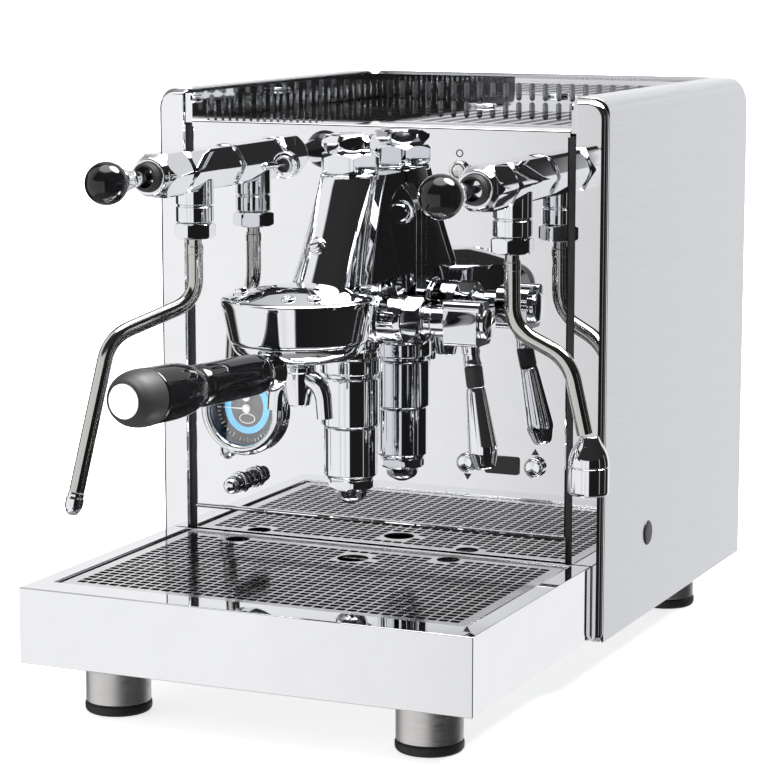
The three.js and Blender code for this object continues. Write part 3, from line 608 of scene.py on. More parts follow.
def front_panel():
    box = BOX["front_panel"]
    gauge, down, up = BOX["gauge_case"], BOX["down_button"], BOX["up_button"]
    toggle, lamp, adjuster, window = (
        BOX[n] for n in ("toggle_switch", "pilot_lamp", "pressure_adjuster", "display_window")
    )
    group = BOX["group_body"]
    holes = [circle(gauge.cx, gauge.cz, 28.6, 48)]
    holes += [circle(b.cx, b.cz, 5.7) for b in (down, up)]
    holes += [circle(b.cx, b.cz, r) for b, r in ((toggle, 6.2), (lamp, 4.6), (adjuster, 4.6))]
    holes += [circle(BOX[t].cx, BOX[t].cz, 10) for t in ("steam_stem", "water_stem")]
    holes += [circle(group.cx, z, 17) for z in (236, 285)]
    holes += [rounded_rectangle(window.x0 + 1, window.x1 - 1, window.z0 + 1, window.z1 - 1, 1)]
    roll, crease = 6.4, 28
    low, high = BOX["left_front_trim"].x1 + 2.6, BOX["right_front_trim"].x0 - 4.8
    flat = roll * (1 - math.sin(math.radians(crease)))
    front = box.y0 + roll * math.cos(math.radians(crease))
    outline = rounded_rectangle(low + flat, high - flat, box.z0, box.z1, 0)
    shape = Shape().add(plate(outline, -SHEET, 0, holes), at(0, box.y0, 0) @ TO_FRONT)
    section = arc(low + roll, front, roll, 180, 270 - crease, 10)
    section += arc(low + roll, front, roll - SHEET, 270 - crease, 180, 10)
    shape.add(plate(section, box.z0, box.z1))
    shape.add(plate([(low + high - x, y) for x, y in section[::-1]], box.z0, box.z1))
    piece("front_panel_sheet", shape, MIRROR, nodes=["front_panel"], sharp=20)
    seals = Shape()
    for x0, x1 in ((low - 1.4, low + flat - 0.9), (high - flat + 0.9, high + 1.4)):
        seals.add(block(x0, x1, box.y0 + 0.4, box.y0 + 5, box.z0, box.z1))
    piece("front_panel_seals", seals, RUBBER)


def splash_plate():
    box = BOX["splash_plate"]
    shape = Shape(block(box.x0, box.x1, box.y0 + 1.8, box.y1, box.z0, box.z1 - 1))
    lip = [(box.y1, box.z1 - 1.8), (box.y1, box.z1)] + arc(box.y0 + 0.9, box.z1 - 0.9, 0.9, 90, 270, 6)
    shape.add(plate(lip[::-1], box.x0, box.x1), ON_SIDE)
    piece("splash_plate_sheet", shape, MIRROR, nodes=["splash_plate"], bevel=0.25)


def rear_panel():
    box, inlet = BOX["rear_panel"], BOX["power_inlet"]
    holes = [slot_outline(15 * (i - 4) + box.cx, 277.5, 2.5, 22.5, 4) for i in range(9)]
    holes.append(rounded_rectangle(inlet.x0 + 1, inlet.x1 - 1, inlet.z0 + 1, inlet.z1 - 1, 1))
    outline = rounded_rectangle(box.x0, box.x1, box.z0, box.z1, [0, 0, 4, 4])
    shape = Shape().add(plate(outline, -SHEET, 0, holes), at(0, box.y0, 0) @ TO_FRONT)
    piece("rear_panel_sheet", shape, SATIN, nodes=["rear_panel"])
    screw = turned([(0, 2.0), (2.2, 2.0), (4.2, 0.6), (4.4, 0), (0, 0)], 0.3, 32)
    # Each screw's slot is a black bar in the head: painted shade.
    slot = block(-3, 3, -0.4, 0.4, 1.7, 2.15)
    heads, slots = Shape(), Shape()
    for x in (box.x0 + 9, box.x1 - 9):
        for z in (box.z0 + 12, box.cz, box.z1 - 14):
            place = at(x, box.y1, z) @ TO_FRONT @ Matrix.Rotation(math.pi, 4, "X")
            heads.add(screw, place)
            slots.add(slot, place @ Matrix.Rotation(x + z, 4, "Z"))
    piece("rear_panel_screws", heads, TURNED)
    piece("rear_screw_slots", slots, INK_AND_PAINTED_SHADE)


def power_inlet():
    box = BOX["power_inlet"]
    back = box.y1
    face = rounded_rectangle(box.x0, box.x1, box.z0, box.z1, 3)
    socket = rounded_rectangle(box.x0 + 4.2, box.x1 - 4.2, box.z0 + 4.2, box.z1 - 4.2, [1, 1, 4, 4])
    shape = Shape().add(plate(face, -back, -back + 2.2, [socket]), TO_FRONT)
    shape.add(plate(rounded_rectangle(box.x0 + 2.5, box.x1 - 2.5, box.z0 + 2.5, box.z1 - 2.5, 3),
                    -back + 2.2, -box.y0 - 6, [socket]), TO_FRONT)
    shape.add(block(box.x0 + 2.5, box.x1 - 2.5, box.y0, box.y0 + 6, box.z0 + 2.5, box.z1 - 2.5))
    piece("power_inlet_housing", shape, BLACK_MATT, nodes=["power_inlet"], bevel=0.3)
    pins = Shape()
    for x, z in ((-5, -1), (0, 2), (5, -1)):
        pins.add(block(box.cx + x - 1, box.cx + x + 1, box.y0 + 5, back - 5, box.cz + z - 2, box.cz + z + 2))
    piece("power_inlet_pins", pins, TURNED, bevel=0.5)


def cup_tray():
    """The cups' sheet, with groups of short vents, a lower seat for the lid and the tank's well."""
    box, lid, tank = BOX["cup_tray"], BOX["tank_lid"], BOX["water_tank"]
    top, step = box.z1, lid.y0 - 1
    vents = []
    columns, pitch, rows, row_pitch = 19, 12.5, 24, 5.4
    for i in range(columns):
        for j in range(rows):
            x = box.cx + pitch * (i - (columns - 1) / 2)
            vents.append(slot_outline(x, box.y0 + 46 + row_pitch * j, 4.7, 1.9, 2))
    field = rounded_rectangle(box.x0, box.x1, box.y0 + 1.5, step, 0)
    shape = Shape(plate(field, top - SKIN, top, vents))
    # The vents' walls under the bright skin are black: painted shade inside the vents.
    walls = plate(field, top - SHEET, top - SKIN, vents)
    piece("cup_tray_vent_walls", walls, BLACK_MATT)
    lip = [(box.y0 + 2, top)] + arc(box.y0 + 1.5, top - 1.5, 1.5, 90, 180, 5)
    lip += [(box.y0, box.z0), (box.y0 + SHEET, box.z0), (box.y0 + 2, top - SHEET)]
    shape.add(plate(lip[::-1], box.x0, box.x1), ON_SIDE)
    shape.add(block(box.x0, box.x1, step - SHEET, step, box.z0, top - 0.2))
    well = rounded_rectangle(tank.x0 - 2.5, tank.x1 + 2.5, tank.y0 - 2.5, tank.y1 + 2.5, 3)
    outline = rounded_rectangle(box.x0, box.x1, step, box.y1, 0)
    shape.add(plate(outline, box.z0 + 0.5, box.z0 + 2, [well]))
    piece("cup_tray_sheet", shape, MIRROR, nodes=["cup_tray"])


def cup_rail():
    """Three walls with upright round-ended slots, and a flange along the top of the back one."""
    box, panel = BOX["cup_rail"], BOX["rear_panel"]
    wall, pitch, half_slot = 1.2, 10, 2.1
    rail_top = box.z1 - 1.8
    low, high = box.z0 - 0.1, rail_top - 4.2
    middle, half_height = (low + high) / 2, (high - low) / 2
    inside_back = box.y1 - 9.3
    first = box.y0 + 21.5
    shape = Shape()
    side_slots = [slot_outline(first + pitch * i, middle, half_slot, half_height, 5) for i in range(26)]
    side_outline = rounded_rectangle(box.y0, inside_back, box.z0 - 2, rail_top, [0, 0, 0, 6])
    for x in (box.x0, box.x1 - wall):
        shape.add(plate(side_outline, x, x + wall, side_slots), ON_SIDE)
    back_slots = [slot_outline(box.cx + pitch * (i - 11.5), middle, half_slot, half_height, 5) for i in range(24)]
    back_outline = rounded_rectangle(box.x0, box.x1, box.z0 - 2, rail_top, 0)
    shape.add(plate(back_outline, -wall, 0, back_slots), at(0, inside_back, 0) @ TO_FRONT)
    shape.add(block(box.x0, box.x1, inside_back, panel.y0 - 0.3, rail_top - wall, rail_top))
    for x0, x1 in ((box.x0 - 3.6, box.x0), (box.x1, box.x1 + 3.6)):
        shape.add(block(x0, x1, box.y0, box.y0 + wall, box.z0 - 2, rail_top - 0.5))
    piece("cup_rail_walls", shape, MIRROR, nodes=["cup_rail"])


def tank_lid():
    box, tank = BOX["tank_lid"], BOX["water_tank"]
    bottom = box.z0 + 5
    sheet = plate(rounded_rectangle(box.x0, box.x1, box.y0, box.y1, 2), bottom, bottom + SHEET)
    outline = rounded_rectangle(tank.x0 - 1, tank.x1 + 1, tank.y0 - 1, tank.y1 + 1, 2)
    inner = rounded_rectangle(tank.x0 + 1, tank.x1 - 1, tank.y0 + 1, tank.y1 - 1, 1)
    shape = Shape(sheet, plate(outline, box.z0, bottom, [inner]))
    piece("tank_lid_sheet", shape, MIRROR, "tank_lid", ["tank_lid"], bevel=0.3)
    base = bottom + SHEET
    knob = turned([(0, 0), (8.4, 0), (9.6, 0.6, 0.4), (9.6, 1.7, 0.4), (8.6, 2.4, 0.6), (0, 2.6)], 0.4)
    piece("tank_lid_knob", Shape().add(knob, at(-14.4, box.y0 + 11.5, base)), CHROME, "tank_lid")


def water_tank():
    box = BOX["water_tank"]
    wall = 2.5
    rings = []
    for inset, z in ((0, box.z0), (0, box.z1), (wall, box.z1), (wall, box.z0 + wall)):
        outline = rounded_rectangle(box.x0 + inset, box.x1 - inset, box.y0 + inset, box.y1 - inset, 6 - inset)
        rings.append([(x, y, z) for x, y in outline])
    piece("water_tank_shell", loft(rings), CLEAR, "water_tank", ["water_tank"], bevel=0.8)


def feet():
    for name in ("front_left_foot", "rear_left_foot", "front_right_foot", "rear_right_foot"):
        box = BOX[name]
        r = (box.x1 - box.x0) / 2
        place = at(box.cx, box.cy, 0)
        steel = turned([(0, 6.2), (r - 1.4, 6.2), (r - 0.6, 7), (r - 0.6, 30.4), (r - 1.2, 31), (0, 31)], 0.3, 96)
        piece(f"{name}_steel", Shape().add(steel, place), BRUSHED, nodes=[name])
        pad = turned([(0, 0), (r - 1.5, 0, 1.2), (r, 1.8, 1.2), (r, 5.4), (r - 0.8, 6.2), (0, 6.2)], 0.5, 96)
        piece(f"{name}_pad", Shape().add(pad, place), RUBBER)


def side_plug():
    panel = BOX["right_side_panel"]
    for x, turn in ((BOX["right_side_panel"].x1, 1), (BOX["left_side_panel"].x0, -1)):
        plug = turned([(0, 1.2), (4, 1.1), (7, 0.9, 0.6), (8, 0.1), (8, -2), (0, -2)], 0.4, 48)
        place = at(x, panel.y0 + 87, 83.4) @ Matrix.Rotation(turn * math.pi / 2, 4, "Y")
        side = "right" if turn > 0 else "left"
        piece(f"{side}_side_plug", Shape().add(plug, place), BLACK_MATT)


# ---------------------------------------------------------------- drip tray
def drip_tray():
    """A polished box whose rim folds inwards and drops to the seat of the grille."""
    box, grille = BOX["drip_tray"], BOX["drip_grille"]
    side, front, back = grille.x0 - box.x0 - 1.5, grille.y0 - box.y0 - 1.5, box.y1 - grille.y1 - 1
    seat = grille.z0 - 0.3

    def ring(z, inset, inner=0.0):
        x0, x1 = box.x0 + inset + side * inner, box.x1 - inset - side * inner
        y0, y1 = box.y0 + inset + front * inner, box.y1 - inset - back * inner
        return [(x, y, z) for x, y in ((x0, y0), (x1, y0), (x1, y1), (x0, y1))]

    def shelf(z, inset):
        return [
            (x, y, z) for x, y in (
                (box.x0 + side + inset, box.y0 + front + inset), (box.x1 - side - inset, box.y0 + front + inset),
                (box.x1 - side - inset, box.y1 - back - inset / 4), (box.x0 + side + inset, box.y1 - back - inset / 4),
            )
        ]

    rings = [
        ring(box.z0, 0), ring(box.z1, 0), shelf(box.z1, 0), shelf(seat, 0), shelf(seat, 5), shelf(seat - SHEET, 5),
        ring(seat - SHEET, SHEET), ring(box.z0 + SHEET, SHEET),
    ]
    piece("drip_tray_pan", loft(rings), MIRROR, "drip_tray", ["drip_tray"], bevel=0.9, segments=3)


def drip_grille():
    """A sheet with an even grid of short slots, three round holes and folded edges."""
    box = BOX["drip_grille"]
    thick, pitch_x, pitch_y, margin = 1.2, 7.05, 6.35, 10.5
    rounds = [(0.0, -38.9, 9.8), (-89.9, -18.9, 7.8), (55.3, -18.9, 7.2)]
    columns = int((box.x1 - box.x0 - 2 * margin) / pitch_x) + 1
    rows = int((box.y1 - box.y0 - 2 * margin) / pitch_y) + 1
    holes = [circle(x, y, r) for x, y, r in rounds]
    for i in range(columns):
        for j in range(rows):
            x = box.cx + pitch_x * (i - (columns - 1) / 2)
            y = box.y0 + margin + pitch_y * j
            if all(math.hypot(x - a, y - b) > r + 4.2 for a, b, r in rounds):
                holes.append(rounded_rectangle(x - 2.95, x + 2.95, y - 2.4, y + 2.4, 0.9, 2))
    field = rounded_rectangle(box.x0 + 1, box.x1 - 1, box.y0 + 1, box.y1 - 1, 0)
    shape = Shape(plate(field, box.z1 - SKIN, box.z1, holes))
    # The holes' walls under the bright skin are black: painted shade inside the holes.
    walls = plate(field, box.z1 - thick, box.z1 - SKIN, holes)
    piece("drip_grille_hole_walls_painted_shade", walls, BLACK_MATT, "drip_grille")
    folded = [(0, box.z0), (0, box.z1 - 1)] + arc(1, box.z1 - 1, 1, 180, 90, 4)[1:]
    folded += [(1.2, box.z1 - thick), (1.2, box.z0)]
    rings = []
    for inset, z in folded:
        x0, x1, y0, y1 = box.x0 + inset, box.x1 - inset, box.y0 + inset, box.y1 - inset
        rings.append([(x0, y0, z), (x1, y0, z), (x1, y1, z), (x0, y1, z)])
    shape.add(loft(rings, closed=True))
    piece("drip_grille_sheet", shape, TURNED, "drip_grille", ["drip_grille"])


side_panel("left_side_panel", -1)
side_panel("right_side_panel", 1)
front_trim("left_front_trim", -1)
front_trim("right_front_trim", 1)
front_panel()
splash_plate()
rear_panel()
power_inlet()
cup_tray()
cup_rail()
tank_lid()
water_tank()
feet()
side_plug()
drip_tray()
drip_grille()


# ---------------------------------------------------------------- brewing group
GROUP = BOX["group_body"]
BELL = Vector((BOX["filter_basket"].cx, BOX["filter_basket"].cy, 0))
TOWER = Vector((BOX["infusion_chamber"].cx, BOX["infusion_chamber"].cy, 0))
BELL_TOP = BOX["shower_screen"].z1 + 6


def group_tower():
    """The casting leans forward to the bell: a rounded nose, then flat flanks that run back to the panel."""
    rings = []
    top, foot = GROUP.z1, BELL_TOP + 3
    steps = 18
    panel = BOX["front_panel"]
    for k in range(steps + 1):
        t = k / steps
        z = foot + (top - foot) * t
        nose = 18.2 + 4.6 * (1 - t) ** 2
        centre = TOWER.y + 1.2 * t - 29 * (1 - t)
        flank = nose + 1.6
        front = arc(0, centre, nose, 194, 346, 30)
        right = [(nose - 2.0, centre + 0.6), (nose - 1.6, centre + 3), (flank - 0.5, centre + 6.4), (flank, centre + 8)]
        right += [(flank, panel.y0 - 1)]
        left = [(-x, y) for x, y in right[::-1]]
        rings.append([(TOWER.x + x, y, z - (0.6 if k == steps else 0)) for x, y in front + right + left])
    piece("group_tower", loft(rings), CHROME, nodes=["group_body"], sharp=40)
    collar = turned([(0, top - 3), (17.2, top - 3), (18, top - 2), (18, top + 0.2), (0, top + 0.2)], 0.6)
    piece("group_collar", Shape().add(collar, at(*TOWER)), CHROME)


def group_bell():
    """The bell with its sloping shoulder, two bolts on it, and a screw in the tower's nose."""
    radius, hollow = 45.4, 37.5
    bottom, top = BOX["portafilter_body"].z1 - 11.5, BELL_TOP
    bell = [
        (0, top + 6.6), (14, top + 6.6, 3), (25, top + 4.6, 4), (radius - 2.4, top + 0.2, 1.2), (radius - 0.2, top - 1.2, 1.2),
        (radius - 0.4, top - 3.4, 1), (radius - 4.6, bottom + 1.4, 1.0), (radius - 5.4, bottom, 0.6),
        (hollow, bottom, 0.4), (hollow, top - 6), (0, top - 6),
    ]
    shape = Shape().add(turned(bell, 1, 128), at(*BELL))
    shape.add(block(-19, 19, BELL.y + 30, TOWER.y, bottom + 2, top + 2), at(TOWER.x, 0, 0))
    piece("group_bell", shape, CHROME)
    bolt = Shape(turned([(0, 0), (5.2, 0), (5.2, 0.7), (4, 1.0)], 0.2, 32), hexagon(6.6, 0.5, 3.2, 0.3, 0.9))
    bolts = Shape()
    recessed = turned([(0, -0.4), (2.2, -0.4), (2.4, 0.5), (3.9, 0.7, 0.3), (4.2, 0), (4.2, -2), (0, -2)], 0.2, 32)
    for angle, body, z in ((-150, (bolt.points, bolt.faces), 2.4), (-74, recessed, 3.1), (-48, recessed, 3.1)):
        out = Vector((math.cos(math.radians(angle)), math.sin(math.radians(angle)), 0))
        tilt = Matrix.Rotation(math.radians(13), 4, Vector((-out.y, out.x, 0)))
        bolts.add(body, at(BELL.x + 33 * out.x, BELL.y + 33 * out.y, top + z) @ tilt)
    piece("bell_bolts", bolts, CHROME)
    screw = turned([(0, 2.2), (3.4, 2.2), (5, 1.2), (5.4, 0), (5.4, -4), (0, -4)], 0.5, 40)
    where = aimed((-0.25, -0.84, 0.48), (TOWER.x - 4.2, TOWER.y - 38.6, 275.4))
    piece("front_screw", Shape().add(screw, where), TURNED)
    # The screw's slot is a black bar in the head: painted shade.
    slot = block(-3.4, 3.4, -0.5, 0.5, 1.7, 2.35)
    piece("front_screw_slot", Shape().add(slot, where), INK_AND_PAINTED_SHADE)


def group_column():
    """The valve column behind the bell, the cam housing across it, and the necks to the flange."""
    cam, panel = BOX["cam_nut"], BOX["front_panel"]
    low = GROUP.z0
    column = turned([
        (0, low), (17.8, low), (18.6, low + 1), (18.6, low + 9, 0.8), (17.4, low + 10.4), (17.4, low + 14),
        (19, low + 16), (19, BELL_TOP + 8), (0, BELL_TOP + 8),
    ], 0.6, 80)
    shape = Shape().add(column, at(*TOWER))
    reach = cam.x0 - TOWER.x - 0.3
    housing = turned([
        (0, -27), (11, -27), (12.4, -25.5), (12.4, -22), (15, -20, 1.5), (16, -17, 1), (16, 22, 1), (14.2, 24, 0.8),
        (14.2, reach - 4), (13.4, reach), (0, reach),
    ], 0.6, 72)
    shape.add(housing, at(TOWER.x, cam.cy, cam.cz) @ TO_RIGHT)
    piece("cam_housing", shape, CHROME)
    cover = Shape().add(hexagon(20, -29.5, -24, 1.5, 0.2), at(TOWER.x, cam.cy, cam.cz) @ TO_RIGHT)
    piece("cam_cover", cover, CHROME)
    necks = Shape()
    for z in (285, 236):
        neck = turned([(0, -panel.y1), (16.5, -panel.y1), (16.5, -panel.y0 + 8, 3), (15, -panel.y0 + 12, 3),
                       (15, -TOWER.y), (0, -TOWER.y)], 1)
        necks.add(neck, at(TOWER.x, 0, z) @ TO_FRONT)
    piece("group_necks", necks, CHROME)
    outline = rounded_rectangle(-30 + TOWER.x, 30 + TOWER.x, 210, 312, 26, 12)
    flange = Shape().add(plate(outline, 0.3, 7.6), at(0, panel.y0, 0) @ TO_FRONT)
    piece("group_flange", flange, CHROME, bevel=1.6, segments=4)
    bolt = Shape(turned([(0, 0), (7, 0), (7, 1), (5.5, 1.4)], 0.2, 32), hexagon(10, 1, 6.5, 0.3, 1.2))
    bolts = Shape()
    for x, z in ((-21, 232), (21, 232), (-21, 290), (21, 290)):
        bolts.add((bolt.points, bolt.faces), at(TOWER.x + x, panel.y0 - 7.6, z) @ TO_FRONT)
    piece("flange_bolts", bolts, CHROME)


def mushroom_cap():
    box = BOX["mushroom_cap"]
    low = box.z0
    shape = Shape(
        hexagon(33.5, low + 0.4, low + 12.6, 2.2, 2.6),
        turned([(0, low), (16.6, low), (17.4, low + 0.5), (16.4, low + 1), (0, low + 1)], 0.2),
        turned([(0, low + 12), (13.8, low + 12), (14.6, low + 14), (14.2, low + 15), (0, low + 15)], 0.4),
        turned([(0, low + 20), (13.2, box.z1 - 2.2), (11.5, box.z1 - 0.5), (8, box.z1), (0, box.z1)], 0.8),
    )
    shape.add(hexagon(30.5, low + 13.8, box.z1 - 1.2, 3.6, 3.8), Matrix.Rotation(math.radians(33), 4, "Z"))
    piece("mushroom_cap_nut", shape.moved(at(*TOWER)), CHROME, nodes=["mushroom_cap"])


def lower_valve():
    """The pre-infusion chamber, the drain barrel under it and the domed nut at the bottom."""
    top, low = BOX["infusion_chamber"], BOX["drain_valve"]
    r = (top.x1 - top.x0) / 2
    chamber = turned([
        (0, top.z0), (r - 0.8, top.z0), (r, top.z0 + 0.8), (r, top.z1 - 3), (r - 0.7, top.z1 - 2), (r - 2.4, top.z1 - 1.6),
        (r - 2.4, top.z1), (0, top.z1),
    ], 0.35, 96)
    piece("infusion_chamber_sleeve", Shape().add(chamber, at(*TOWER)), CHROME, nodes=["infusion_chamber"])
    b = (low.x1 - low.x0) / 2
    z0, z1 = low.z0, low.z1
    barrel = turned([
        (0, z0 + 15.4), (b - 1.6, z0 + 15.4), (b, z0 + 17), (b, z1 - 1.2), (b - 0.8, z1), (0, z1),
    ], 0.4, 96)
    skirt = turned([(0, z0 + 13.6), (b - 2.6, z0 + 13.6), (b - 2, z0 + 14.2), (b - 2, z0 + 15.6), (0, z0 + 15.6)], 0.2, 80)
    dome = turned([
        (0, z0 - 1.6), (3, z0 - 1.5, 3), (9.6, z0 + 2, 5), (10.4, z0 + 7, 2), (10.4, z0 + 9.5), (0, z0 + 9.5),
    ], 2, 64)
    shape = Shape()
    for body in (barrel, skirt, dome, hexagon(26.5, z0 + 8.0, z0 + 14, 2.0, 1.4)):
        shape.add(body, at(*TOWER))
    piece("drain_valve_barrel", shape, CHROME, nodes=["drain_valve"])


def group_lever():
    """The cam nut, the squared hub with its pinch roll, and the tapered grip with its sleeve."""
    nut, hub, grip, sleeve = (BOX[n] for n in ("cam_nut", "lever_hub", "lever_grip", "lever_sleeve"))
    length = nut.x1 - nut.x0
    shape = Shape(
        hexagon(26, 0, 11.8, 1.2, 2.2),
        turned([(5.3, 10), (9.6, 10), (9.6, 12.4), (8.8, 13.2), (8.8, 17), (9.4, 17.8), (9.4, length - 0.8),
                (8.6, length), (5.3, length), (5.3, 10)], 0.3, 64, closed=True),
    )
    place = at(nut.x0, nut.cy, nut.cz) @ TO_RIGHT
    piece("cam_nut_gland", Shape().add((shape.points, shape.faces), place), CHROME, nodes=["cam_nut"])
    axis_y, axis_z = nut.cy, nut.cz
    x0, x1 = 66.6, 87.6
    outline = rounded_rectangle(axis_y - 12, axis_y + 12, hub.z0, axis_z + 13, [3, 4, 9, 4], 8)
    block_shape = Shape().add(plate(outline, x0, x1), ON_SIDE)
    piece("lever_hub_block", block_shape, CHROME, "lever", ["lever_hub"], bevel=1.3, segments=4)
    roll = turned([(0, x0 - 1), (3.9, x0 - 1), (4.3, x0), (4.3, x1 + 1.6), (3.6, x1 + 2.4), (0, x1 + 2.4)], 0.4, 40)
    shaft = turned([(0, nut.x1 - 22), (4.8, nut.x1 - 22), (4.8, x0 + 2), (0, x0 + 2)], 0.3, 40)
    end = turned([(0, x1 - 1), (9.6, x1 - 1), (9.6, x1 + 3), (8.4, x1 + 4.6, 1.2), (0, x1 + 5)], 0.8, 48)
    round_parts = Shape()
    round_parts.add(roll, at(0, axis_y - 8, axis_z + 9.6) @ TO_RIGHT)
    round_parts.add(shaft, at(0, axis_y, axis_z) @ TO_RIGHT)
    round_parts.add(end, at(0, axis_y, axis_z) @ TO_RIGHT)
    piece("lever_hub_pins", round_parts, CHROME, "lever")
    start = Vector((79.2, axis_y, hub.z0 + 1))
    direction = Vector((11.7, -6.4, -66.5)).normalized()
    handle = turned([
        (0, -6), (4.2, -6), (4.2, 1.2), (5.4, 1.6), (5.4, 6, 0.6), (4.9, 7, 0.6), (4.9, 10), (5.5, 12.2, 0.6), (5.5, 13.4),
        (4.3, 13.6), (4.3, 26.4), (5.5, 26.6), (6.0, 28.5, 1), (8.9, 63, 3), (8.9, 65.5, 1.5), (7.6, 69.5, 2.5),
        (6.3, 74, 2), (5.2, 75.6, 1), (0, 75.6),
    ], 0.4, 64)
    piece("lever_grip_rod", Shape().add(handle, aimed(direction, start)), CHROME, "lever", ["lever_grip"])
    rubber = turned([(4.5, 13.8), (5.1, 13.8), (5.4, 14.8), (5.4, 25.2), (5.1, 26.2), (4.5, 26.2), (4.5, 13.8)], 0.4, 48, True)
    piece("lever_sleeve_rubber", Shape().add(rubber, aimed(direction, start)), RUBBER, "lever",
          ["lever_sleeve"])


def shower_screen():
    box = BOX["shower_screen"]
    screen = turned([
        (0, box.z0), (28, box.z0, 0.6), (29, box.z0 + 1), (35.6, box.z0 + 2.4, 1), (36, box.z1), (0, box.z1),
    ], 0.3)
    piece("shower_screen_disc", Shape().add(screen, at(*BELL)), TURNED, nodes=["shower_screen"])


# ---------------------------------------------------------------- portafilter
def handle_frame():
    """The handle's own frame: +Z runs out along it from the middle of the bell."""
    swing, rise = math.radians(6), math.radians(1.3)
    return aimed((-math.sin(swing), -math.cos(swing), math.sin(rise)), (BELL.x, BELL.y, 208.4))


def portafilter():
    ride = "portafilter"
    top = BOX["portafilter_body"].z1
    low = top - 24.1
    cup = turned([
        (0, low), (9, low, 2), (24, low + 1, 8), (33.5, low + 3.2, 7), (37.8, low + 7, 5), (39.4, low + 11.6, 0.6),
        (38.6, low + 12.2), (34, low + 12.2), (34, top - 0.3), (33.4, top), (30.9, top), (30.3, top - 0.6),
        (30.3, low + 4.2), (7, low + 4.2), (7, low + 2.4), (0, low + 2.4),
    ], 0.5, 128)
    shape = Shape().add(cup, at(*BELL))
    for side in (-1, 1):
        lug = plate(rounded_rectangle(-7, 7, -1.4, 1.4, 1), top - 5.5, top - 1)
        shape.add(lug, at(BELL.x + side * 34.6, BELL.y, 0) @ Matrix.Rotation(math.pi / 2, 4, "Z"))
    piece("portafilter_cup", shape, CHROME, ride, ["portafilter_body"])
    neck = turned([
        (0, 30.8), (12, 30.8), (11.4, 33, 2), (9.4, 36.5, 3), (8.6, 39.5, 2), (8.8, 41, 0.5), (10.4, 41.6, 0.6),
        (10.8, 42.6, 0.6), (10.4, 45), (0, 45),
    ], 0.5, 64)
    piece("portafilter_neck", Shape().add(neck, handle_frame()), CHROME, ride)
    b = BOX["filter_basket"]
    basket = turned([
        (0, b.z0), (26.4, b.z0, 2), (29, b.z0 + 2.6, 1), (29.6, b.z1 - 1.2, 0.4), (33.5, b.z1 - 1.2), (33.5, b.z1),
        (28.8, b.z1, 0.6), (28, b.z0 + 3, 1.5), (26, b.z0 + 1, 1), (0, b.z0 + 1),
    ], 0.3, 96)
    piece("filter_basket_cup", Shape().add(basket, at(*BELL)), TURNED, ride, ["filter_basket"])
    grip = turned([
        (0, 45.4), (10.2, 45.4), (11.6, 46.8, 1.2), (12, 58, 6), (12, 103, 5), (11.5, 106, 1.5), (10.9, 107.4, 0.8),
        (10.9, 110.6, 0.8), (12, 112, 1), (14.4, 120, 6), (15.5, 131, 7), (15.7, 153.6, 2), (15.2, 154.6), (0, 154.6),
    ], 0.8, 96)
    piece("portafilter_grip_handle", Shape().add(grip, handle_frame()), BLACK_GLOSS, ride,
          ["portafilter_grip"])
    cap = turned([
        (0, 155), (15.4, 155), (15.9, 156, 0.6), (15.9, 163, 4), (14.5, 170, 5), (11.4, 174.8, 2.5), (10.1, 175.7, 0.6),
        (9.8, 175.4), (9.6, 174.6), (0, 174.6),
    ], 0.6, 96)
    piece("grip_end_cap_rubber", Shape().add(cap, handle_frame()), RUBBER, ride, ["grip_end_cap"])
    disc = turned([(0, 174), (9.5, 174), (9.5, 175.2), (9.1, 175.8), (8.7, 175.6), (0, 175.6)], 0.2, 64)
    piece("grip_end_disc", Shape().add(disc, handle_frame()), WHITE, ride)


def portafilter_spout():
    """Two curved arms under a domed hub, cut off square at their open ends."""
    box = BOX["portafilter_spout"]
    top = box.z1
    hub = turned([
        (0, top - 25.4), (5.8, top - 25.4), (6.6, top - 24.8, 0.4), (8.4, top - 17, 3), (8.8, top - 13, 1), (8.8, top - 5.6, 0.4),
        (10.2, top - 5), (10.2, top - 2, 0.4), (8.8, top - 1.2), (8.8, top), (0, top),
    ], 0.5, 64)
    shape = Shape().add(hub, at(*BELL))
    # Black discs at the hub's outlet and the arms' open ends: painted shade inside the spouts.
    mouths = Shape().add(turned([(0, 0.2), (4.9, 0.2), (4.9, -0.1), (0, -0.1)], 0, 32), at(BELL.x, BELL.y, top - 25.4))
    for reach, mouth_radius, mouth_z in ((-14, 6.0, box.z0 + 3.6), (17, 4.8, box.z0 + 0.1)):
        corners = [(reach / 9, 0, top - 8.6), (reach * 0.9, 0, top - 10), (reach, 0, mouth_z)]
        path = [p + BELL for p in bent(corners, 12, 16)]
        radii = [6.0 + (mouth_radius - 6.0) * i / (len(path) - 1) for i in range(len(path))]
        shape.add(swept(path, radii, 32))
        mouth = turned([(0, 0.3), (mouth_radius - 1.2, 0.3), (mouth_radius - 1.2, -0.1), (0, -0.1)], 0, 32)
        mouths.add(mouth, at(BELL.x + reach, BELL.y, mouth_z - 0.05))
    piece("portafilter_spout_arms", shape, CHROME, "portafilter", ["portafilter_spout"])
    piece("portafilter_spout_mouths", mouths, INK_AND_PAINTED_SHADE, "portafilter")


# ---------------------------------------------------------------- taps
WAND = {"direction": (-0.642, -0.767), "corners": [(0, 268), (0, 233), (57, 213), (80.2, 118.5)]}
SPOUT = {"direction": (0.989, 0.146), "corners": [(0, 268), (0.4, 227.5), (35, 210), (44.8, 166)]}


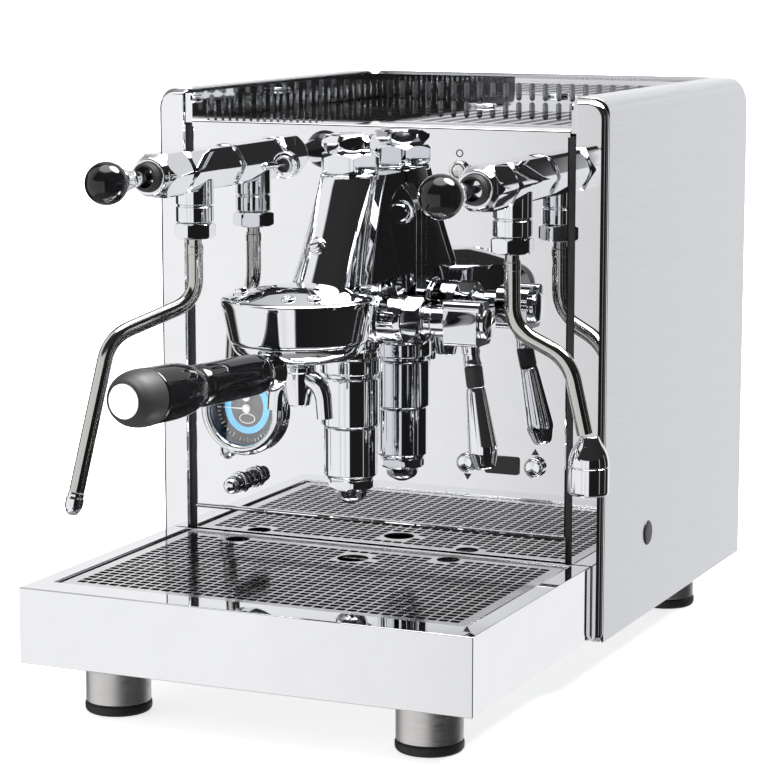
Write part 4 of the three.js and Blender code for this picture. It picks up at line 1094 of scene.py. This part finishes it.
def tap_body(tap):
    """The valve's hexagonal barrel with its collar, and the outlet cylinder under it."""
    box, stem, nut = (BOX[f"{tap}_{part}"] for part in ("valve_body", "stem", "outlet_nut"))
    panel = BOX["front_panel"].y0
    front = -box.y0
    place = at(stem.cx, 0, stem.cz) @ TO_FRONT
    shape = Shape()
    shape.add(turned([(0, -panel + 0.3), (13.6, -panel + 0.3), (13.6, -panel + 2), (12.4, -panel + 3.4), (0, -panel + 3.4)], 0.4), place)
    shape.add(hexagon(25, -panel + 3, front - 4.6, 0.8, 2.8), place)
    shape.add(turned([(0, front - 8), (11.4, front - 8), (11.4, front - 0.3), (0, front - 0.3)], 0.4), place)
    low, r = box.z0, 11.7
    outlet = turned([
        (0, low), (r - 0.7, low), (r, low + 0.7), (r, low + 9.6, 0.2), (r - 0.8, low + 10.2, 0.2), (r - 0.8, low + 10.9, 0.2),
        (r, low + 11.5, 0.2), (r, stem.cz - 11, 1), (r, stem.cz - 6), (0, stem.cz - 6),
    ], 0.3, 80)
    shape.add(outlet, at(nut.cx, nut.cy, 0))
    piece(f"{tap}_tap_barrel", shape, CHROME, nodes=[f"{tap}_valve_body"])


def tap_cap(tap):
    cap, stem = BOX[f"{tap}_cap_nut"], BOX[f"{tap}_stem"]
    rear, front = -cap.y1, -cap.y0
    place = at(stem.cx, 0, stem.cz) @ TO_FRONT
    shape = Shape().add(hexagon(26.5, rear, rear + 28.4, 2.4, 5.5), place)
    nose = turned([(9, rear + 25), (12.9, rear + 25), (12.9, rear + 28.6, 1), (11.2, front - 5.2, 1), (9, front - 5.2), (9, rear + 25)],
                  0.5, 72, True)
    shape.add(nose, place)
    piece(f"{tap}_cap_nut_hex", shape, CHROME, nodes=[f"{tap}_cap_nut"])
    boot = turned([
        (7.5, front - 12), (9, front - 12), (9, front - 4.6, 0.5), (8.4, front - 4), (8.9, front - 3.2, 0.4), (8.9, front - 2.2, 0.4),
        (8.1, front - 1.6, 0.3), (8.3, front - 0.6, 0.3), (7.6, front), (6.4, front), (7.5, front - 5), (7.5, front - 12),
    ], 0.3, 64, True)
    dish = turned([(4.6, front - 10), (8.8, front - 10), (8.8, front - 9), (4.6, front - 9), (4.6, front - 10)], 0, 64, True)
    piece(f"{tap}_boot", Shape(boot, dish).moved(place), RUBBER)


def tap_stick(tap):
    """The joystick: a flared chrome stem with a ball knob."""
    stem, knob, body = BOX[f"{tap}_stem"], BOX[f"{tap}_knob"], f"{tap}_tap"
    rear, front = -stem.y1, -stem.y0
    place = at(stem.cx, 0, stem.cz) @ TO_FRONT
    rod = turned([
        (0, rear), (2.4, rear), (2.4, rear + 19, 1), (4.4, rear + 21.4, 1.5), (5.2, rear + 30, 5), (7.4, rear + 43, 2),
        (7.8, front - 1.2, 0.6), (7.4, front), (0, front),
    ], 0.4, 64)
    piece(f"{tap}_stem_cone", Shape().add(rod, place), CHROME, body, [f"{tap}_stem"])
    r = (knob.x1 - knob.x0) / 2
    centre = -knob.y0 - r
    first = math.degrees(math.asin(7.6 / r))
    ball = [(0, -knob.y1)] + [(x, centre - z) for z, x in arc(0, 0, r, first, 180, 36)]
    ball[-1] = (0, ball[-1][1])
    piece(f"{tap}_knob_ball", Shape().add(turned(ball, 0, 72), place), BLACK_GLOSS, body, [f"{tap}_knob"])


def outlet_nut(tap):
    box = BOX[f"{tap}_outlet_nut"]
    turn = Matrix.Rotation(math.radians(-21.5), 4, "Z")
    shape = Shape().add(hexagon(23.2, box.z0, box.z1, 1.3, 1.3), at(box.cx, box.cy, 0) @ turn)
    piece(f"{tap}_outlet_nut_hex", shape, CHROME, nodes=[f"{tap}_outlet_nut"])


def tap_pipe(name, tap, body, route):
    nut = BOX[f"{tap}_outlet_nut"]
    dx, dy = route["direction"]
    corners = [(nut.cx + along * dx, nut.cy + along * dy, z) for along, z in route["corners"]]
    shape = Shape(swept(bent(corners, 14, 18), 4.9, 40))
    collar = turned([
        (0, 261.6), (5, 261.6), (5.2, 262), (5.2, 266.4), (4.9, 267), (4.3, 267.4), (4.3, 271), (0, 271),
    ], 0.2, 48)
    shape.add(collar, at(nut.cx, nut.cy, 0))
    piece(f"{name}_tube", shape, PIPE_STEEL, body, [name])


def steam_tip():
    nut, (before, end) = BOX["steam_outlet_nut"], WAND["corners"][-2:]
    dx, dy = WAND["direction"]
    slope = Vector(((end[0] - before[0]) * dx, (end[0] - before[0]) * dy, end[1] - before[1]))
    place = aimed(slope, (nut.cx + end[0] * dx, nut.cy + end[0] * dy, end[1]))
    tip = turned([
        (0, 0.3), (4.9, 0.3), (5.1, 1.4), (5.1, 3), (5.7, 4, 0.8), (5.7, 9, 2), (4.4, 12.6, 2), (2.6, 14.7, 1), (0, 15),
    ], 0.3, 56)
    piece("steam_tip_nozzle", Shape().add(tip, place), CHROME, "wand", ["steam_tip"])
    # Black discs at the nozzle's four holes: painted shade.
    holes = Shape()
    for i in range(4):
        side = Matrix.Rotation(math.radians(35 + 90 * i), 4, "Z") @ Matrix.Rotation(math.radians(62), 4, "Y")
        holes.add(turned([(0, 5.0), (0.9, 5.0), (0.9, 5.45), (0, 5.45)], 0, 20), place @ at(0, 0, 9.6) @ side)
    piece("steam_tip_holes", holes, INK_AND_PAINTED_SHADE, "wand")


def water_nozzle():
    box = BOX["water_nozzle"]
    low, top = box.z0, box.z1
    nozzle = turned([
        (0, low + 1), (9.6, low + 1), (10, low + 0.2), (11.4, low), (12.1, low + 0.6), (12.3, low + 2), (12.3, low + 16.4, 0.2),
        (11.8, low + 16.9, 0.2), (12.3, low + 17.4, 0.2), (12.1, low + 21, 2), (10.6, low + 26.5, 4), (7.4, low + 31, 4),
        (5.9, low + 34, 1), (5.7, top), (0, top),
    ], 0.4, 80)
    piece("water_nozzle_bell", Shape().add(nozzle, at(box.cx, box.cy, 0)), CHROME, "water_spout",
          ["water_nozzle"])


# ---------------------------------------------------------------- controls
def on_panel(x, z):
    """A frame at the face of the front panel, with +Z towards the front."""
    return at(x, BOX["front_panel"].y0, z) @ TO_FRONT


def gauge():
    """A chromed case and bezel with a printed two-scale dial set deep behind glass."""
    box = BOX["gauge_case"]
    radius, dial, face = 28.9, 22.2, -2.0
    place = on_panel(box.cx + 0.1, box.cz - 4)
    case = turned([
        (0, -30), (24, -30), (27, -26), (27, 0.3), (radius, 0.3), (radius, 5.4, 0.6), (radius - 0.8, 7.6, 1.4),
        (radius - 2.6, 9.2, 1.4), (dial + 1.4, 9.2, 0.8), (dial + 0.2, 7.8, 0.6), (dial, 6.6), (dial, face - 1), (0, face - 1),
    ], 0.4, 128)
    piece("gauge_case_bezel", Shape().add(case, place), CHROME, nodes=["gauge_case"])
    wall = turned([(dial - 0.3, face - 1), (dial + 0.1, face - 1), (dial + 0.1, 6.4), (dial - 0.3, 6.4), (dial - 0.3, face - 1)],
                  0, 96, True)
    piece("gauge_wall", Shape().add(wall, place), GAUGE_WALL)
    disc = turned([(0, face - 1), (dial - 0.1, face - 1), (dial - 0.1, face), (0, face)], 0, 96)
    piece("gauge_dial", Shape().add(disc, place), DIAL_DARK)

    def oval(half_x, half_z, lift):
        return [(x * half_x, z * half_z + lift) for x, z in circle(0, 0, 1, 96)]

    middle = plate(oval(11.6, 13.3, 1.4), face, face + 0.12)
    piece("gauge_dial_middle", Shape().add(middle, place), DIAL)
    ring = plate(oval(15.9, 17.4, 1.4), face + 0.05, face + 0.22, [oval(11.5, 13.2, 1.4)])
    piece("gauge_dial_ring", Shape().add(ring, place), BLUE)
    badge = plate(oval(5.6, 3.3, -6.2), face + 0.12, face + 0.3, [oval(5.1, 2.8, -6.2)])
    piece("gauge_dial_oval", Shape().add(badge, place), WHITE)
    ticks, greens, reds = Shape(), Shape(), Shape()
    for i in range(49):
        angle = math.radians(-180 + 360 * i / 48)
        long = i % 4 == 0
        inner = 18.6 if long else 19.4
        half = 0.3 if long else 0.16
        mark = block(-half, half, inner, 21.4, face, face + 0.15)
        target = greens if 35 <= i <= 37 else reds if 1 <= i <= 6 else ticks
        target.add(mark, place @ Matrix.Rotation(angle + math.pi / 2, 4, "Z"))
    piece("gauge_ticks", ticks, WHITE)
    piece("gauge_green_marks", greens, GREEN)
    piece("gauge_red_marks", reds, RED)
    glass = turned([(0, 6.2), (dial - 0.2, 6.2), (dial - 0.2, 6.8), (0, 6.9)], 0.1, 96)
    piece("gauge_glass_pane", Shape().add(glass, place), GLASS)


def needle(name):
    box = BOX[name]
    hub_x = box.x1 - 2.6
    place = at(hub_x, box.y1 + 4.4, box.cz) @ TO_FRONT
    hub = turned([(0, 0), (2.8, 0), (2.8, 0.6), (2.4, 0.9), (0, 0.9)], 0.15, 40)
    blade = plate([(-16.2, -0.14), (1, -0.6), (1, 0.6), (-16.2, 0.14)], 0.2, 0.6)
    piece(f"{name}_pointer", Shape(hub, blade).moved(place), WHITE, name, [name])


def toggle():
    box, bat = BOX["toggle_switch"], BOX["toggle_bat"]
    place = on_panel(box.cx, box.cz)
    nut = turned([
        (4.4, 0.3), (8.3, 0.3), (8.5, 0.6), (8.5, 2.4, 0.3), (7.7, 3.2), (5.9, 3.2), (5.9, 4.3), (5.4, 4.7), (4.5, 4.6),
        (4.4, 2), (4.4, 0.3),
    ], 0.2, 72, True)
    back = turned([(0, -18), (5.8, -18), (5.8, 1.6), (0, 1.6)], 0.3, 40)
    piece("toggle_switch_ring", Shape(nut, back).moved(place), CHROME, nodes=["toggle_switch"])
    # A black disc inside the nut ring: painted shade in the switch's well.
    well = turned([(0, 1.4), (4.5, 1.4), (4.5, 1.8), (0, 1.8)], 0, 32)
    piece("toggle_switch_well", Shape(well).moved(place), INK_AND_PAINTED_SHADE)
    lean = math.radians(28)
    length = 18.4
    stick = turned([
        (0, -2.5), (1.5, -2.5), (1.4, 4, 1), (2.2, 13, 4), (2.6, 16, 1.2), (2.1, length - 0.7, 0.8), (0, length),
    ], 0.3, 40)
    start = (box.cx, bat.y1 - 2.3, box.cz)
    piece("toggle_bat_stick", Shape(stick).moved(aimed((-math.sin(lean), -math.cos(lean), 0), start)), CHROME,
          "toggle", ["toggle_bat"])


def pilot_lamp():
    box = BOX["pilot_lamp"]
    place = on_panel(box.cx, box.cz)
    rim = turned([(3.9, 0.3), (5.8, 0.3), (5.9, 0.6), (5.9, 2.8), (5.3, 3.5), (4.2, 3.3), (3.9, 2.6), (3.9, 0.3)], 0.2, 56, True)
    piece("pilot_lamp_rim", Shape(rim).moved(place), CHROME)
    lens = turned([(0, -16), (3.8, -16), (3.8, 2.4), (3, 3.9, 1), (0, 4.7)], 0.5, 48)
    piece("pilot_lamp_lens", Shape(lens).moved(place), LENS, nodes=["pilot_lamp"])


def push_button(name):
    box = BOX[name]
    place = on_panel(box.cx, box.cz)
    front = BOX["front_panel"].y0 - box.y0
    cap = turned([(0, -6), (5.0, -6), (5.0, front - 0.9, 0.3), (4.5, front - 0.3, 0.4), (0, front)], 0.3, 56)
    piece(f"{name}_cap", Shape(cap).moved(place), CHROME, name, [name])
    rim = turned([(5.3, 0), (6.2, 0), (6.2, front - 1.6, 0.3), (5.7, front - 1.1, 0.3), (5.3, front - 1.5), (5.3, 0)], 0.2, 56, True)
    piece(f"{name}_rim", Shape(rim).moved(place), CHROME)


def display_window():
    box = BOX["display_window"]
    outline = rounded_rectangle(box.x0 - box.cx, box.x1 - box.cx, box.z0 - box.cz, box.z1 - box.cz, 1.6)
    pane = plate(outline, 0.3, 1.2)
    back = block(box.x0 - box.cx + 1.5, box.x1 - box.cx - 1.5, box.z0 - box.cz + 1.5, box.z1 - box.cz - 1.5, -12, 0.4)
    shape = Shape(pane, back).moved(on_panel(box.cx, box.cz))
    piece("display_window_pane", shape, BLACK_GLOSS, nodes=["display_window"], bevel=0.25)


def pressure_adjuster():
    """A stop collar and a domed screw."""
    box = BOX["pressure_adjuster"]
    front = BOX["front_panel"].y0 - box.y0
    place = on_panel(box.cx, box.cz)
    shape = Shape(
        turned([(0, -11), (5.2, -11), (5.2, 0.4), (5.6, 0.8), (5.6, 6.6, 0.5), (5, 7.4), (0, 7.4)], 0.3, 48),
        turned([(0, 7), (4.3, 7), (4.3, 9), (0, 9)], 0.2, 48),
        turned([(0, 8.6), (6, 8.6), (7, 9.2, 0.3), (7, 13.4, 0.3), (6.2, 14), (0, 14)], 0.3, 48),
        turned([(0, 13), (5.4, 13), (5.4, front - 4.4, 2.5), (3.6, front - 1.2, 3), (0, front - 0.8)], 0.6, 56),
    )
    piece("pressure_adjuster_screw", shape.moved(place), CHROME, "adjuster", ["pressure_adjuster"])


def panel_marks():
    """Printed signs: I and O over the switch, a dot over the lamp, and arrows by the buttons."""
    switch, lamp = BOX["toggle_switch"], BOX["pilot_lamp"]
    down, up = BOX["down_button"], BOX["up_button"]
    thick = 0.06
    marks = Shape()
    for x, z in ((switch.cx - 6, switch.z1 + 6.5), (lamp.cx, lamp.z1 + 4.5)):
        marks.add(plate(circle(0, 0, 2.4), 0, thick, [circle(0, 0, 1.7)]), on_panel(x, z))
    marks.add(plate(rounded_rectangle(-0.45, 0.45, -2.4, 2.4, 0.2), 0, thick), on_panel(switch.cx + 6, switch.z1 + 6.5))
    arrow = [(-2.6, -2), (2.6, -2), (0, 2)]
    marks.add(plate(arrow, 0, thick), on_panel(up.cx, up.z1 + 4))
    marks.add(plate([(x, -z) for x, z in arrow[::-1]], 0, thick), on_panel(down.cx, down.z0 - 4))
    piece("panel_marks", marks, INK_AND_PAINTED_SHADE)


group_tower()
group_bell()
group_column()
mushroom_cap()
lower_valve()
group_lever()
shower_screen()
portafilter()
portafilter_spout()
for tap_name in ("steam", "water"):
    tap_body(tap_name)
    tap_cap(tap_name)
    tap_stick(tap_name)
    outlet_nut(tap_name)
tap_pipe("steam_wand", "steam", "wand", WAND)
tap_pipe("water_pipe", "water", "water_spout", SPOUT)
steam_tip()
water_nozzle()
gauge()
needle("boiler_needle")
needle("pump_needle")
toggle()
pilot_lamp()
push_button("down_button")
push_button("up_button")
display_window()
pressure_adjuster()
panel_marks()

# The parts inside the casing, and the frame under it, keep their CAD shapes.
for inner, inner_look in (
    ("base_frame", GALVANISED), ("steam_boiler", BRASS), ("pump", BLACK_MATT), ("control_box", BLACK_MATT),
):
    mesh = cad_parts[inner].data
    mesh.materials.clear()
    mesh.materials.append(inner_look)
